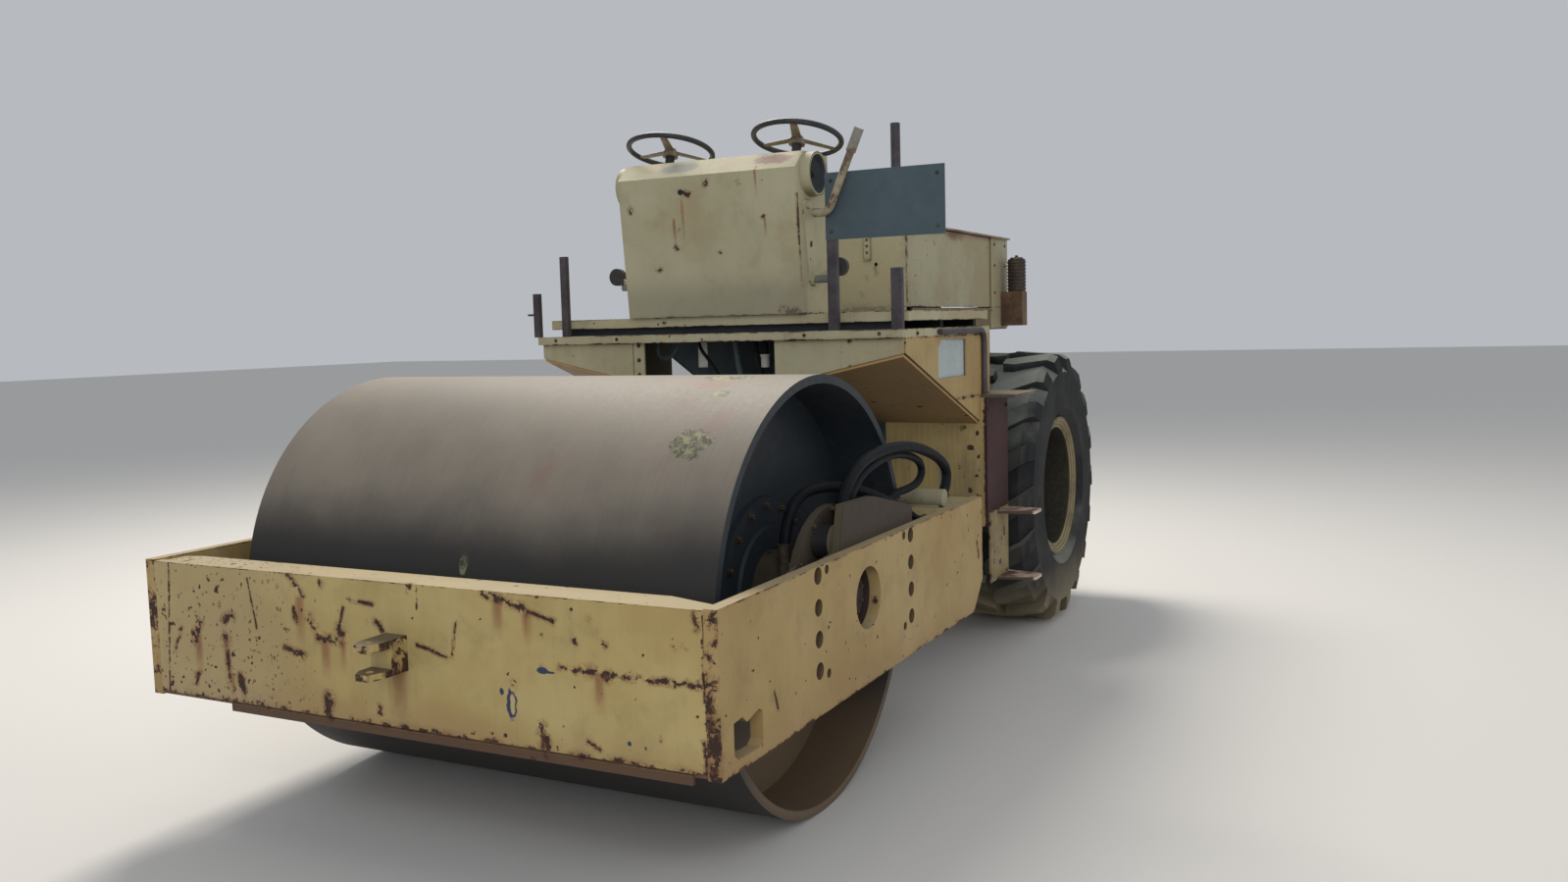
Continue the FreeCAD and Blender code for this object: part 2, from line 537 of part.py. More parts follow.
# Steering columns and wheels
tilt = math.radians(15)
lean = (0, math.sin(tilt), math.cos(tilt))
gripLine = [(13 * math.cos(math.radians(45 * step + 22.5)), 13 * math.sin(math.radians(45 * step + 22.5)))
            for step in range(8)]
columns = []
for side, sx in (("left", 1), ("right", -1)):
    foot = (sx * 345, -352, 2552)
    column = rod("column_solid_" + side, foot, lean, 22, 62)
    collar = rod("column_collar_" + side, (sx * 345, -350, 2555), (0, 0, 1), 45, 14)
    trim = block("column_trim_" + side, (sx * 345 - 60, -420, 2500), (120, 140, 55))
    columns.append(cut("steer_column_" + side, join("column_join_" + side, column, collar), trim))
    top = V(*foot) + V(*lean) * 62.3
    centre = top + V(*lean) * 30
    grip = sketchOn("grip_section_" + side, "XZ", 0, gripLine)
    place(grip, ("wheelRingRadius", 0, 0), grip.Placement.Rotation)
    ring = doc.addObject("Part::Revolution", "grip_ring_" + side)
    ring.Source = grip
    ring.Axis = V(0, 0, 1)
    ring.Base = V(0, 0, 0)
    ring.Angle = 360
    ring.Solid = True
    ring.Placement = FreeCAD.Placement(centre, turnTo(lean))
    boss = rod("boss_" + side, (top.x, top.y, top.z), lean, 38, 45)
    spokes = []
    for step in range(3):
        angle = math.radians(90 + 120 * step)
        across = V(math.cos(angle), math.sin(angle) * math.cos(tilt), -math.sin(angle) * math.sin(tilt))
        aside = V(*lean).cross(across)
        corner = centre + across * 20 - aside * 17 - V(*lean) * 4
        spoke = block("spoke%d_%s" % (step, side), (corner.x, corner.y, corner.z), ("wheelRingRadius - 24", 34, 8))
        spoke.Placement = FreeCAD.Placement(corner, FreeCAD.Rotation(across, aside, V(*lean), "XZY"))
        spokes.append(spoke)
    node("steer_wheel_" + side, join("steer_wheel_" + side, ring, boss, *spokes))
node("steer_columns", gather("steer_columns", *columns))

# Control lever with its grip on the console's left end
leverPath = [(470, -440, 2288), (508, -440, 2288), (574, -646, 2262), (642, -648, 2262), (724, -650, 2450),
             (760, -651, 2530)]
leverTube = pipe("lever_tube", 17, leverPath, [24, 30, 58, 200])
leverGrip = rod("lever_grip", (752, -650.8, 2512.4), (0.409, -0.011, 0.912), 22, 105)
lever = join("control_lever", leverTube, leverGrip)
node("control_lever", lever)

# Bent tube rails from the deck's edge down to the ledges
railX = 981.2 + deckOut
railTube = pipe("rail_tube", 14, [(railX, -190, 1731), (railX, 470, 1731), (railX, 470, D["ledgeTop"])], [60])
node("tube_rails", gather("tube_rails", railTube, mirrored("rail_tube_right", railTube)))

# Posts on the platform and the dark board
postRows = (("postA", -993 - deckOut, -625, 34, 26, 215), ("postB", -822 - 0.5 * deckOut, -625, 36, 26, 390),
            ("postC", 618, -625, 46, 26, 396), ("postD", 916 + deckOut, -625, 50, 26, 263))
posts = [block(name, (x, y, "deckTop"), (w, d, tall)) for name, x, y, w, d, tall in postRows]
node("posts", gather("posts", *posts))
board = block("board_sheet", (612, -619, 2146), (550, 10, 290))
node("board", board)

# Engine hood: front wall, roof, rear corners, grille and the two side doors
hoodSheet = block("hood_front_sheet", ("-hoodHalf", "hoodFront", 1830), ("2*hoodHalf", "panelThick", 460))
hoodHole = rod("hood_front_hole", (385, 490, 2086), (0, 1, 0), 10, 30)
strap = plate("hood_strap", "XZ", 492, 8, [(316, 2107), (360, 2107), (360, 2290), (316, 2290)],
              [(338, z, 7) for z in (2148, 2183, 2215, 2258)])
strapLip = block("hood_strap_lip", (316, 480, 2107), (44, 13, 8))
node("hood_front", join("hood_front", cut("hood_front_drilled", hoodSheet, hoodHole), strap, strapLip))
roofSheet = block("roof_sheet", ("-hoodHalf - 22", "hoodFront", "hoodTop - panelThick"),
                  ("2*hoodHalf + 44", "hoodRear - hoodFront", "panelThick"))
roofPins = [rod("roof_pin%d" % index, (sx * (559 + hoodOut), 1961, 2262), (0, 0, 1), 5, 30)
            for index, sx in enumerate((-1, 1))]
node("hood_roof", join("hood_roof", roofSheet, *roofPins))
cornerLine = [(540 + hoodOut, 1970), (550 + hoodOut, 1970), (550 + hoodOut, 2330), (430, 2330), (430, 2320),
              (540 + hoodOut, 2320)]
cornerSheet = plate("corner_sheet", "XY", 1730, 560, cornerLine)
cornerLug = block("corner_lug", (549 + hoodOut, 1948, 1842), (20, 44, 13))
cornerLugRoot = block("corner_lug_root", (540 + hoodOut, 1972, 1842), (20, 18, 13))
cornerPin = rod("corner_pin", (559 + hoodOut, 1961, 1850), (0, 0, 1), 5, 32)
corner = join("corner_left", cornerSheet, cornerLug, cornerLugRoot, cornerPin)
node("hood_corners", gather("hood_corners", corner, mirrored("corner_right", corner)))
grilleSheet = block("grille_sheet", (-430, 2308, 1100), (860, 12, 1190))
slots = [block("grille_slot%d" % index, (-360, 2300, 1240 + 52 * index), (720, 30, 24)) for index in range(16)]
grilleSlots = join("grille_slots", *slots)
node("hood_grille", cut("hood_grille", grilleSheet, grilleSlots))
for side, sx in (("left", 1), ("right", -1)):
    sheetDoor = block("door_sheet_" + side, (540 + hoodOut if sx > 0 else -550 - hoodOut, 515, 1860), (10, 1449, 425))
    tube = rod("door_tube_" + side, (sx * (559 + hoodOut), 1961, 1860), (0, 0, 1), 10, 425)
    tubeBore = rod("door_bore_" + side, (sx * (559 + hoodOut), 1961, 1850), (0, 0, 1), 5.08, 450)
    node("hood_door_" + side, cut("hood_door_" + side, join("door_join_" + side, sheetDoor, tube), tubeBore))

# Bay walls between the rear tyres, hood floor frame, engine and exhaust
bay = plate("bay_left", "YZ", 418, 10, [(810, 1000), (2307.7, 1000), (2307.7, 1720), (810, 1720)])
node("bay_walls", gather("bay_walls", bay, mirrored("bay_right", bay)))
node("bay_bulkhead", block("bay_bulkhead", (-417.7, 812, 1000), (835.4, 10, 720)))
floorOuter = block("floor_outer", ("-hoodHalf", 602, 1720), ("2*hoodHalf", 1703, 10))
floorInner = block("floor_inner", (-400, 800, 1700), (800, 1450, 50))
floorSills = [block("floor_sill%d" % index, (at, 602, 1725), (12, "doorSeam - 603", 129))
              for index, at in enumerate(("-hoodHalf + 2", "hoodHalf - 14"))]
node("hood_floor", join("hood_floor", cut("floor_frame", floorOuter, floorInner), *floorSills))
engineParts = [block("engine_block", (-260, 860, 1060), (520, 1000, 820)),
               block("engine_foot_a", (-415, 950, 1000), (830, 90, 80)),
               block("engine_foot_b", (-415, 1650, 1000), (830, 90, 80))]
node("engine", join("engine", *engineParts))
stack = rod("stack", (232, 1200, "hoodTop"), (0, 0, 1), 28, 620)
node("exhaust_stack", stack)
filterBody = rod("filter_body", (640 + hoodOut, 2235, 1955), (0, 0, 1), 55, 205)
filterStay = block("filter_stay", (550 + hoodOut, 2180, 1740), (140, 110, 215))
node("air_filter", join("air_filter", filterBody, filterStay))
node("rear_weight", block("rear_weight", (-480, 2330, 600), (960, 130, 520)))

doc.recompute()
os.makedirs("parts", exist_ok=True)
bad = []
for obj in doc.Objects:
    if "Invalid" in obj.State or "Error" in obj.State:
        bad.append(obj.Name)
for label, obj in nodes:
    shape = obj.Shape
    if shape.isNull() or not shape.isValid():
        bad.append(label)
        continue
    shape.exportStep(os.path.join("parts", label + ".step"))
    print(label, len(shape.Solids), round(shape.Volume / 1e9, 5))
print("bad", bad)
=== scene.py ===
import math
from functools import reduce
from itertools import product
import bmesh
import bpy
from mathutils import Matrix, Vector


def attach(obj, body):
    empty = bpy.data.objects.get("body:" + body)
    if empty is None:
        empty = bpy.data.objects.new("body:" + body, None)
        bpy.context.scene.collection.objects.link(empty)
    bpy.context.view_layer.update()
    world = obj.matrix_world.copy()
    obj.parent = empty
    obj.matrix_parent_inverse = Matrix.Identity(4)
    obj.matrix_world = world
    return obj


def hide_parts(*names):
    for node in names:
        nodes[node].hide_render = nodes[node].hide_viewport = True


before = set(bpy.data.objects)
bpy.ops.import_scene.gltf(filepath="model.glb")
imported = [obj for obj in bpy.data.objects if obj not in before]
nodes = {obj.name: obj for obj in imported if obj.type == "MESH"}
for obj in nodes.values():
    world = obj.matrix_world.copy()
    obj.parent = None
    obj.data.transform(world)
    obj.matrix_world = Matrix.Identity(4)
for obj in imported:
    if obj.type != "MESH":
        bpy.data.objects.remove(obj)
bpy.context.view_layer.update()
print("frame loaded", len(nodes))


def spun(degrees, axis):
    return Matrix.Rotation(math.radians(degrees), 4, axis)


def pointed(aim, front="Z"):
    # turns the z axis, or the one that front names, along a direction
    return Vector(aim).to_track_quat(front, "Y").to_matrix().to_4x4()


def newObject(name, data):
    item = bpy.data.objects.new(name, data)
    bpy.context.scene.collection.objects.link(item)
    return item


# camera matched to the photograph: turns in degrees, lens and sensor width in millimetres
view = {"place": (2.940, -5.694, 1.778), "yaw": 26.76, "pitch": 5.24, "roll": -1.49, "lens": 28.892, "sensor": 36}
cameraData = bpy.data.cameras.new("viewCamera")
cameraData.sensor_width = view["sensor"]
cameraData.lens = view["lens"]
camera = newObject("viewCamera", cameraData)
turn = spun(view["yaw"], "Z") @ spun(90 - view["pitch"], "X") @ spun(view["roll"], "Z")
camera.matrix_world = Matrix.Translation(view["place"]) @ turn
bpy.context.scene.camera = camera
bpy.context.scene.view_settings.view_transform = "Standard"

# soft lamps, the strongest high behind on the left: place, aim, energy, size, colour
lamps = {
    "skyKey": ((-3.5, 3.0, 8.5), (0, -0.8, 1.2), 880, 4.0, (1.0, 0.95, 0.86)),
    "frontFill": ((4.5, -9.5, 4.5), (0, -0.8, 0.9), 235, 6.0, (0.97, 0.98, 1.0)),
    "sideFill": ((9.0, 1.5, 4.5), (0.4, 0, 1.0), 70, 5.0, (1.0, 0.98, 0.95)),
}
for name, (place, aim, energy, size, colour) in lamps.items():
    lampData = bpy.data.lights.new(name, "AREA")
    lampData.energy = energy
    lampData.shape = "DISK"
    lampData.size = size
    lampData.color = colour
    lamp = newObject(name, lampData)
    lamp.matrix_world = Matrix.Translation(place) @ pointed(Vector(aim) - Vector(place), "-Z")
print("camera and lamps set")


class Signal:
    # a socket's value, with the operators that shader maths needs
    def __init__(self, finish, socket):
        self.finish = finish
        self.socket = socket

    def maths(self, operation, *terms):
        return self.finish.makeNode("ShaderNodeMath", {"operation": operation}, dict(enumerate(terms)))

    def __add__(self, other):
        return self.maths("ADD", self, other)

    def __radd__(self, other):
        return self.maths("ADD", other, self)

    def __sub__(self, other):
        return self.maths("SUBTRACT", self, other)

    def __rsub__(self, other):
        return self.maths("SUBTRACT", other, self)

    def __mul__(self, other):
        return self.maths("MULTIPLY", self, other)

    def __rmul__(self, other):
        return self.maths("MULTIPLY", other, self)

    def __truediv__(self, other):
        return self.maths("DIVIDE", self, other)

    def __abs__(self):
        return self.maths("ABSOLUTE", self)

    def least(self, other):
        return self.maths("MINIMUM", self, other)

    def most(self, other):
        return self.maths("MAXIMUM", self, other)


class Finish:
    # one material: makeNode adds its nodes, and masks and colours come out as signals
    def __init__(self, name, specular, metallic=0.0):
        self.material = bpy.data.materials.new(name)
        self.material.use_nodes = True
        self.tree = self.material.node_tree
        self.tree.nodes.clear()
        self.shader = self.makeNode("ShaderNodeBsdfPrincipled", {}, {"Metallic": metallic,
                                    "Specular IOR Level": specular}, None)
        self.makeNode("ShaderNodeOutputMaterial", {}, {"Surface": Signal(self, self.shader.outputs[0])}, None)
        self.place = self.makeNode("ShaderNodeTexCoord", {}, {}, "Object")
        self.x, self.y, self.z = self.split(self.place)
        self.side = abs(self.x)  # distance from the machine's middle
        facing = self.split(self.makeNode("ShaderNodeNewGeometry", {}, {}, "Normal"))
        self.across = abs(facing[0])  # 1 where a face looks sideways
        self.up = facing[2]

    def makeNode(self, kind, settings, inputs, output=0):
        # the settings first, then its sockets' values or links; no output gives the node itself
        item = self.tree.nodes.new(kind)
        for key, value in settings.items():
            setattr(item, key, value)
        for key, value in inputs.items():
            if isinstance(value, Signal):
                self.tree.links.new(value.socket, item.inputs[key])
            else:
                item.inputs[key].default_value = value
        return item if output is None else Signal(self, item.outputs[output])

    def split(self, vector):
        parts = self.makeNode("ShaderNodeSeparateXYZ", {}, {0: vector}, None)
        return [Signal(self, part) for part in parts.outputs]

    def vectorMaths(self, operation, first, last=None):
        inputs = {0: first}
        if last is not None:
            inputs["Scale" if operation == "SCALE" else 1] = last
        output = "Value" if operation in ("LENGTH", "DOT_PRODUCT") else "Vector"
        return self.makeNode("ShaderNodeVectorMath", {"operation": operation}, inputs, output)

    def stretched(self, scale, shift=(0, 0, 0)):
        return self.makeNode("ShaderNodeMapping", {}, {"Vector": self.place, "Scale": scale, "Location": shift})

    def noise(self, scale, detail, rough, at=None, twist=0.0):
        return self.makeNode("ShaderNodeTexNoise", {}, {"Vector": at or self.place, "Scale": scale,
                             "Detail": detail, "Roughness": rough, "Distortion": twist}, "Fac")

    def warped(self, scale, amount):
        # the place pushed about by noise, which makes outlines ragged
        push = self.makeNode("ShaderNodeTexNoise", {}, {"Vector": self.place, "Scale": scale, "Detail": 6.0,
                             "Roughness": 0.7}, "Color")
        centred = self.vectorMaths("SUBTRACT", push, (0.5, 0.5, 0.5))
        return self.vectorMaths("ADD", self.place, self.vectorMaths("SCALE", centred, amount))

    def flecks(self, scale, share, size, at):
        # small chips in a share of the cells, of random size: above 0 is inside
        cell = self.makeNode("ShaderNodeTexVoronoi", {}, {"Vector": at, "Scale": scale}, None)
        chance = self.makeNode("ShaderNodeSeparateColor", {}, {0: Signal(self, cell.outputs["Color"])})
        return (chance - (1 - share)) / share * size - Signal(self, cell.outputs["Distance"])

    def band(self, value, low, high):
        # rises smoothly from 0 at low to 1 at high, or falls where low is the larger one
        return self.makeNode("ShaderNodeMapRange", {"interpolation_type": "SMOOTHSTEP"},
                             {"Value": value, "From Min": low, "From Max": high})

    def blend(self, factor, first, last):
        # two colours, each a signal or three numbers
        first, last = (value if isinstance(value, Signal) else (*value, 1) for value in (first, last))
        return self.makeNode("ShaderNodeMix", {"data_type": "RGBA"}, {0: factor, 6: first, 7: last}, 2)

    def layered(self, colour, *layers):
        # layers are rows of how much and which colour
        for amount, layer in layers:
            colour = self.blend(amount, colour, layer)
        return colour

    def mottled(self, wide, fine, pair, ragged=0.4, low=0.35, high=0.7):
        # clouds of two tones with ragged outlines
        return self.blend(self.band(wide + (fine - 0.5) * ragged, low, high), *pair)

    def around(self, axle):
        # distance from an axle that lies across the machine at a y and a z
        dy = self.y - axle[0]
        dz = self.z - axle[1]
        square = dy * dy + dz * dz
        return square.maths("SQRT", square)

    def spot(self, centre, size, ragged):
        # distance from an ellipsoid's middle in its own sizes: under 1 is inside
        shifted = self.vectorMaths("SUBTRACT", self.place, centre)
        scaled = self.vectorMaths("MULTIPLY", shifted, tuple(1.0 / value for value in size))
        return self.vectorMaths("LENGTH", scaled) + ragged

    def stroke(self, start, end, width, at=None):
        # distance from a straight line between two points, in its own half widths
        way = Vector(end) - Vector(start)
        shifted = self.vectorMaths("SUBTRACT", at or self.place, start)
        along = self.vectorMaths("DOT_PRODUCT", shifted, tuple(way / max(way.length_squared, 1e-9)))
        foot = self.vectorMaths("SCALE", tuple(way), self.makeNode("ShaderNodeClamp", {}, {"Value": along}))
        return self.vectorMaths("LENGTH", self.vectorMaths("SUBTRACT", shifted, foot)) / width

    def finishWith(self, colour, roughness, height, strength, distance):
        bump = self.makeNode("ShaderNodeBump", {}, {"Height": height, "Strength": strength, "Distance": distance},
                             "Normal")
        for key, signal in (("Base Color", colour), ("Roughness", roughness), ("Normal", bump)):
            self.tree.links.new(signal.socket, self.shader.inputs[key])
        return self.material


# faded paints: each one's tone, its paler clouds and its duller patches
paints = {
    "cream": ((0.400, 0.295, 0.108), (0.465, 0.362, 0.158), (0.260, 0.198, 0.085)),
    # flank is the cream darkened as painted shade for walls that face sideways
    "flankShade": ((0.352, 0.243, 0.091), (0.410, 0.298, 0.133), (0.228, 0.162, 0.072)),
    "grey": ((0.385, 0.350, 0.215), (0.445, 0.415, 0.275), (0.270, 0.250, 0.160)),
    "greyDull": ((0.270, 0.250, 0.160), (0.330, 0.305, 0.205), (0.140, 0.128, 0.090)),
    # under is the cream darkened as painted shade for parts beneath the deck and inside the frame
    "under": ((0.165, 0.125, 0.065), (0.215, 0.165, 0.090), (0.085, 0.066, 0.042)),
    "guard": ((0.450, 0.275, 0.106), (0.515, 0.325, 0.130), (0.305, 0.183, 0.080)),
}
tones = {
    "rust": (0.042, 0.022, 0.017), "rustLight": (0.175, 0.075, 0.036), "rustRun": (0.235, 0.105, 0.045),
    "stain": (0.310, 0.195, 0.090), "dust": (0.390, 0.320, 0.200), "grime": (0.085, 0.066, 0.045),
    "soot": (0.012, 0.013, 0.016), "blueMark": (0.030, 0.042, 0.095), "pinkPatch": (0.270, 0.165, 0.130),
    # hub and gap are painted shade: the deep middle hole of a drum carrier and the gap behind it
    "greyPatch": (0.250, 0.245, 0.200), "palePaint": (0.465, 0.362, 0.158), "hub": (0.035, 0.022, 0.024),
    "gap": (0.030, 0.026, 0.022),
}
drumAxle = (-1.6, 0.8)
wheelAxle = (1.64, 0.795)


def wornPaint(name, base="cream", chips=0.5, streaks=0.4, grime=0.3, seed=0.0, edges=(), strokes=(), spots=(),
              low=None, rubber=None, shades=(), speckle=1.0, dense=None, runs=()):
    # faded paint: small chips down to rust, run-down stains, broken rust along the edges, dust where it faces up
    # edges: axis, place, width; strokes: start, end, half width; spots: centre, size, tone, softness
    # shades: depth, tone, rows of axis, where it starts, where it is full; runs: x, top, length, half width
    # low: the height down to which it is clean; dense: the x where many chips start, and are full
    # rubber: the distances from the middle between which a carrier's buffers stand; the carrier's middle hole and the
    # gap behind it get painted shade
    skin = Finish(name, 0.3)
    shift = (seed, seed * 1.7, seed * 0.6)
    at = skin.stretched((1, 1, 1), shift)
    cloud = skin.noise(1.4, 4, 0.6, at)
    fine = skin.noise(38, 5, 0.65, at)
    patch = skin.noise(6.5, 6, 0.62, at, 0.4)
    chipMap = skin.noise(19, 8, 0.72, at, 0.5)
    run = skin.noise(6.0, 4, 0.6, skin.stretched((9, 9, 0.5), shift))
    rough = skin.warped(34, 0.050)
    upright = 1 - abs(skin.up)
    tone, pale, dull = paints[base]
    colour = skin.layered(
        skin.blend(skin.band(cloud, 0.35, 0.68), tone, pale),
        (skin.band(patch, 0.46, 0.72) * 0.35, dull),
        (skin.band(cloud + (patch - 0.5) * 0.5, 0.52, 0.36) * 0.30, tones["stain"]),
        (skin.band(run, 0.50, 0.74) * upright * (streaks * 0.6), dull),
        (skin.band(run, 0.66, 0.78) * upright * (streaks * 0.5), tones["stain"]),
        (skin.band(skin.up, 0.55, 0.95) * 0.6, tones["dust"]),
        (skin.band(patch + (fine - 0.5) * 0.3, 0.58, 0.80) * grime, tones["grime"]),
        (skin.band(skin.up, -0.5, -0.9) * 0.6, tones["grime"]))
    if low is not None:
        colour = skin.blend(skin.band(skin.z + (cloud - 0.5) * 0.2, low + 0.14, low) * 0.45, colour, tones["stain"])
    field = chipMap + (patch - 0.5) * 0.45
    if edges:
        gap = reduce(Signal.least, [abs(getattr(skin, axis) - where) / width for axis, where, width in edges])
        nearness = skin.band(gap, 1.0, 0.0) * (1 - 0.8 * skin.band(skin.up, 0.5, 0.8))
        field = field + nearness * 0.27
        colour = skin.blend(nearness * skin.band(patch, 0.42, 0.62) * 0.5, colour, tones["rustLight"])
    top = 0.80 - 0.05 * chips
    small = skin.flecks(17, (0.07 + 0.10 * chips) * speckle, 0.26, rough)
    tiny = skin.flecks(40, (0.05 + 0.10 * chips) * speckle, 0.30, rough)
    chip = skin.band(field, top, top + 0.015).most(skin.band(small, 0.0, 0.03)).most(skin.band(tiny, 0.0, 0.05))
    halo = skin.band(field, top - 0.07, top + 0.01).most(skin.band(small, -0.16, 0.02) * 0.7)
    if dense is not None:
        # a side of the face that is dusty and peppered with small chips
        colour = skin.blend(skin.band(skin.x, *dense) * 0.35, colour, tones["dust"])
        more = skin.flecks(30, 0.40, 0.40, rough).most(skin.flecks(62, 0.45, 0.42, rough))
        chip = chip.most(skin.band(more, 0.0, 0.05) * skin.band(skin.x + (patch - 0.5) * 0.9, *dense))
    for x, start, length, width in runs:
        # rust that has run down from a scratch
        reach = abs(skin.x - x + (run - 0.5) * 0.03) / width
        fall = skin.band(skin.z + (fine - 0.5) * 0.04, start - length, start - length * 0.2)
        fall = fall * skin.band(skin.z, start + 0.012, start)
        colour = skin.blend(skin.band(reach, 1.0, 0.1) * fall * 0.80, colour, tones["rustRun"])
    if strokes:
        # scratches whose width swells, shrinks and breaks off
        wavy = skin.warped(12, 0.010)
        near = reduce(Signal.least, [skin.stroke(start, end, width, rough if width > 0.0075 else wavy)
                                     for start, end, width in strokes])
        breaks = skin.band(skin.noise(30, 4, 0.7, at), 0.48, 0.42)
        near = near + (chipMap - 0.5) * 2.6 + (patch - 0.5) * 1.5 + breaks * 1.3
        chip = chip.most(skin.band(near, 1.0, 0.85))
        halo = halo.most(skin.band(near, 2.6, 1.0))
    crust = skin.blend(skin.band(fine, 0.50, 0.72), tones["rust"], tones["rustLight"])
    colour = skin.layered(colour, (halo * 0.55, tones["rustLight"]), (chip, crust))
    for centre, size, tone, soft in spots:
        far = skin.spot(centre, size, (chipMap - 0.5) * 1.5 + (fine - 0.5) * 0.9)
        colour = skin.blend(skin.band(far, 1.0 + soft, 1.0 - soft), colour, tones[tone])
    for depth, tone, limits in shades:
        inside = depth
        for axis, first, last in limits:
            inside = inside * skin.band(getattr(skin, axis), first, last)
        colour = skin.blend(inside, colour, tone)
    if rubber is not None:
        inner, outer = rubber
        radius = skin.around(drumAxle)
        buffers = skin.band(skin.side, inner, inner + 0.001) * skin.band(skin.side, outer, outer - 0.001)
        # black buffers, then painted shade in the middle hole and on the carrier's side towards the drum
        colour = skin.layered(
            colour, (buffers * skin.band(radius, 0.12, 0.125), tones["soot"]),
            (skin.band(radius + (fine - 0.5) * 0.05, 0.17, 0.10) * 0.85, tones["hub"]),
            (skin.band(skin.side, 1.12, 1.05) * 0.8, tones["gap"]))
    return skin.finishWith(colour, 0.5 + 0.22 * fine + 0.2 * chip, fine * 0.25 - chip * 0.9, 0.4, 0.0018)


def wear(material, names):
    # gives the material to CAD nodes, which keep their meshes
    for name in names.split():
        mesh = nodes[name].data
        mesh.materials.clear()
        mesh.materials.append(material)


# the front plate in millimetres: scratches as x, z, x, z, half width, rust runs as x, top, length, half width,
# and brushed marks as x, z, half width, half height, tone, softness
frontPlate = {
    "face": -2690, "depth": 20,
    "scratches": (
        (-931, 785, -965, 692, 12.8), (-804, 792, -762, 809, 14.4), (-804, 739, -801, 711, 14.4),
        (-798, 690, -793, 591, 7.2), (-478, 985, -410, 912, 9.6), (-389, 836, -368, 811, 12.8),
        (-354, 772, -246, 765, 11.2), (-256, 814, -232, 783, 12.8), (-228, 883, -251, 815, 6),
        (-329, 958, -325, 952, 8.8), (-320, 576, -322, 495, 14.4), (369, 976, 441, 960, 9.6),
        (441, 960, 526, 936, 12), (526, 936, 638, 909, 7), (253, 877, 225, 758, 5), (225, 758, 81, 789, 7),
        (576, 569, 583, 490, 13.6), (653, 769, 753, 770, 8), (753, 770, 823, 763, 12.8), (823, 763, 1141, 767, 8),
        (-91, 565, -89, 539, 8), (-743, 597, -723, 546, 12.8), (-955, 589, -974, 554, 9.6),
        (-510, 724, -423, 705, 9.6), (61, 982, 65, 976, 11.2), (-83, 849, -59, 825, 10.4),
        (814, 859, 820, 854, 8), (1090, 873, 1097, 868, 6.4), (743, 553, 784, 535, 7),
        (-1076, 989, -1116, 503, 4), (96, 1004, 93, 908, 3.5), (-195, 915, -96, 906, 6.4),
        (-676, 951, -643, 781, 4), (-1032, 747, -1066, 672, 7.2), (-456, 865, -450, 825, 8),
        (1128, 968, 1134, 935, 10), (1150, 600, 1152, 500, 8), (1149, 900, 1152, 720, 4)),
    "runs": (
        (-945, 720, 160, 30), (-800, 720, 200, 26), (-780, 600, 100, 22), (-430, 900, 200, 30),
        (-320, 760, 140, 34), (-240, 800, 160, 22), (0, 700, 200, 55), (420, 960, 140, 30), (530, 930, 120, 26),
        (580, 560, 80, 20), (790, 760, 140, 34), (-330, 550, 60, 20)),
    "spots": (
        (461, 630, 21, 48, "blueMark", 0.12), (464, 634, 10, 30, "palePaint", 0.2),
        (424, 672, 9, 12, "blueMark", 0.15), (584, 754, 20, 10, "blueMark", 0.15),
        (612, 751, 18, 4, "blueMark", 0.2), (890, 565, 8, 8, "blueMark", 0.2)),
}


def metres(*values):
    return tuple(value / 1000 for value in values)


face = frontPlate["face"]
frontPaint = wornPaint(
    "frontCream", chips=0.45, streaks=0.2, grime=0.15, seed=7.4, low=0.49,
    edges=(("z", 0.985, 0.008), ("z", 0.505, 0.030), ("x", 1.155, 0.009)),
    strokes=[(metres(x, face, z), metres(endX, face, endZ), width / 1000)
             for x, z, endX, endZ, width in frontPlate["scratches"]],
    spots=[(metres(x, face, z), metres(wide, frontPlate["depth"], high), tone, soft)
           for x, z, wide, high, tone, soft in frontPlate["spots"]],
    shades=((0.9, (0.074, 0.036, 0.024), (("z", 0.508, 0.490),)),), dense=(-0.30, -0.75),
    runs=[metres(*row) for row in frontPlate["runs"]])
wear(frontPaint, "frame_front_plate")

# the side plates: the walls of their bolt holes between these two y get painted shade
sidePlate = {"boltRows": ((-1.275, -1.143), (-2.055, -1.925)), "holeWallShade": (0.070, 0.045, 0.028)}
sidePaint = wornPaint(
    "sideCream", base="flankShade", chips=0.15, streaks=0.2, grime=0.12, seed=3.1, low=0.49,
    edges=(("z", 0.99, 0.012), ("z", 0.49, 0.02), ("y", -2.69, 0.016), ("y", -0.28, 0.015)),
    strokes=(((1.2, -2.35, 0.66), (1.2, -2.33, 0.60), 0.006), ((1.2, -0.36, 0.80), (1.2, -0.34, 0.72), 0.008),
             ((1.175, -2.69, 0.62), (1.178, -2.69, 0.50), 0.014)),
    shades=[(0.8, sidePlate["holeWallShade"], (("across", 0.6, 0.4), ("y", low, low + 0.002), ("y", high, high - 0.002),
                                          ("z", 0.989, 0.988))) for low, high in sidePlate["boltRows"]])
wear(sidePaint, "frame_side_left frame_side_right")
clevisPaint = wornPaint(
    "clevisCream", chips=1.0, streaks=0.5, grime=0.4, seed=4.4,
    edges=(("y", -2.85, 0.03), ("z", 0.700, 0.012), ("z", 0.790, 0.012), ("x", 0.045, 0.01)),
    shades=((0.75, (0.062, 0.044, 0.034), (("up", 0.7, 0.9),)),))
wear(clevisPaint, "tow_clevis")
# the carrier plates' outer parts get painted shade, olive brown, and darker still where seen through the side plates'
# holes
carrierPaint = wornPaint(
    "carrierCream", base="under", chips=0.5, streaks=0.3, grime=0.5, seed=6.3, rubber=(1.0605, 1.1245),
    shades=((0.75, (0.055, 0.045, 0.028), (("side", 1.119, 1.123),)),
            (0.85, (0.040, 0.026, 0.020), (("side", 1.152, 1.154),))))
wear(carrierPaint, "drum_carrier_left drum_carrier_right")
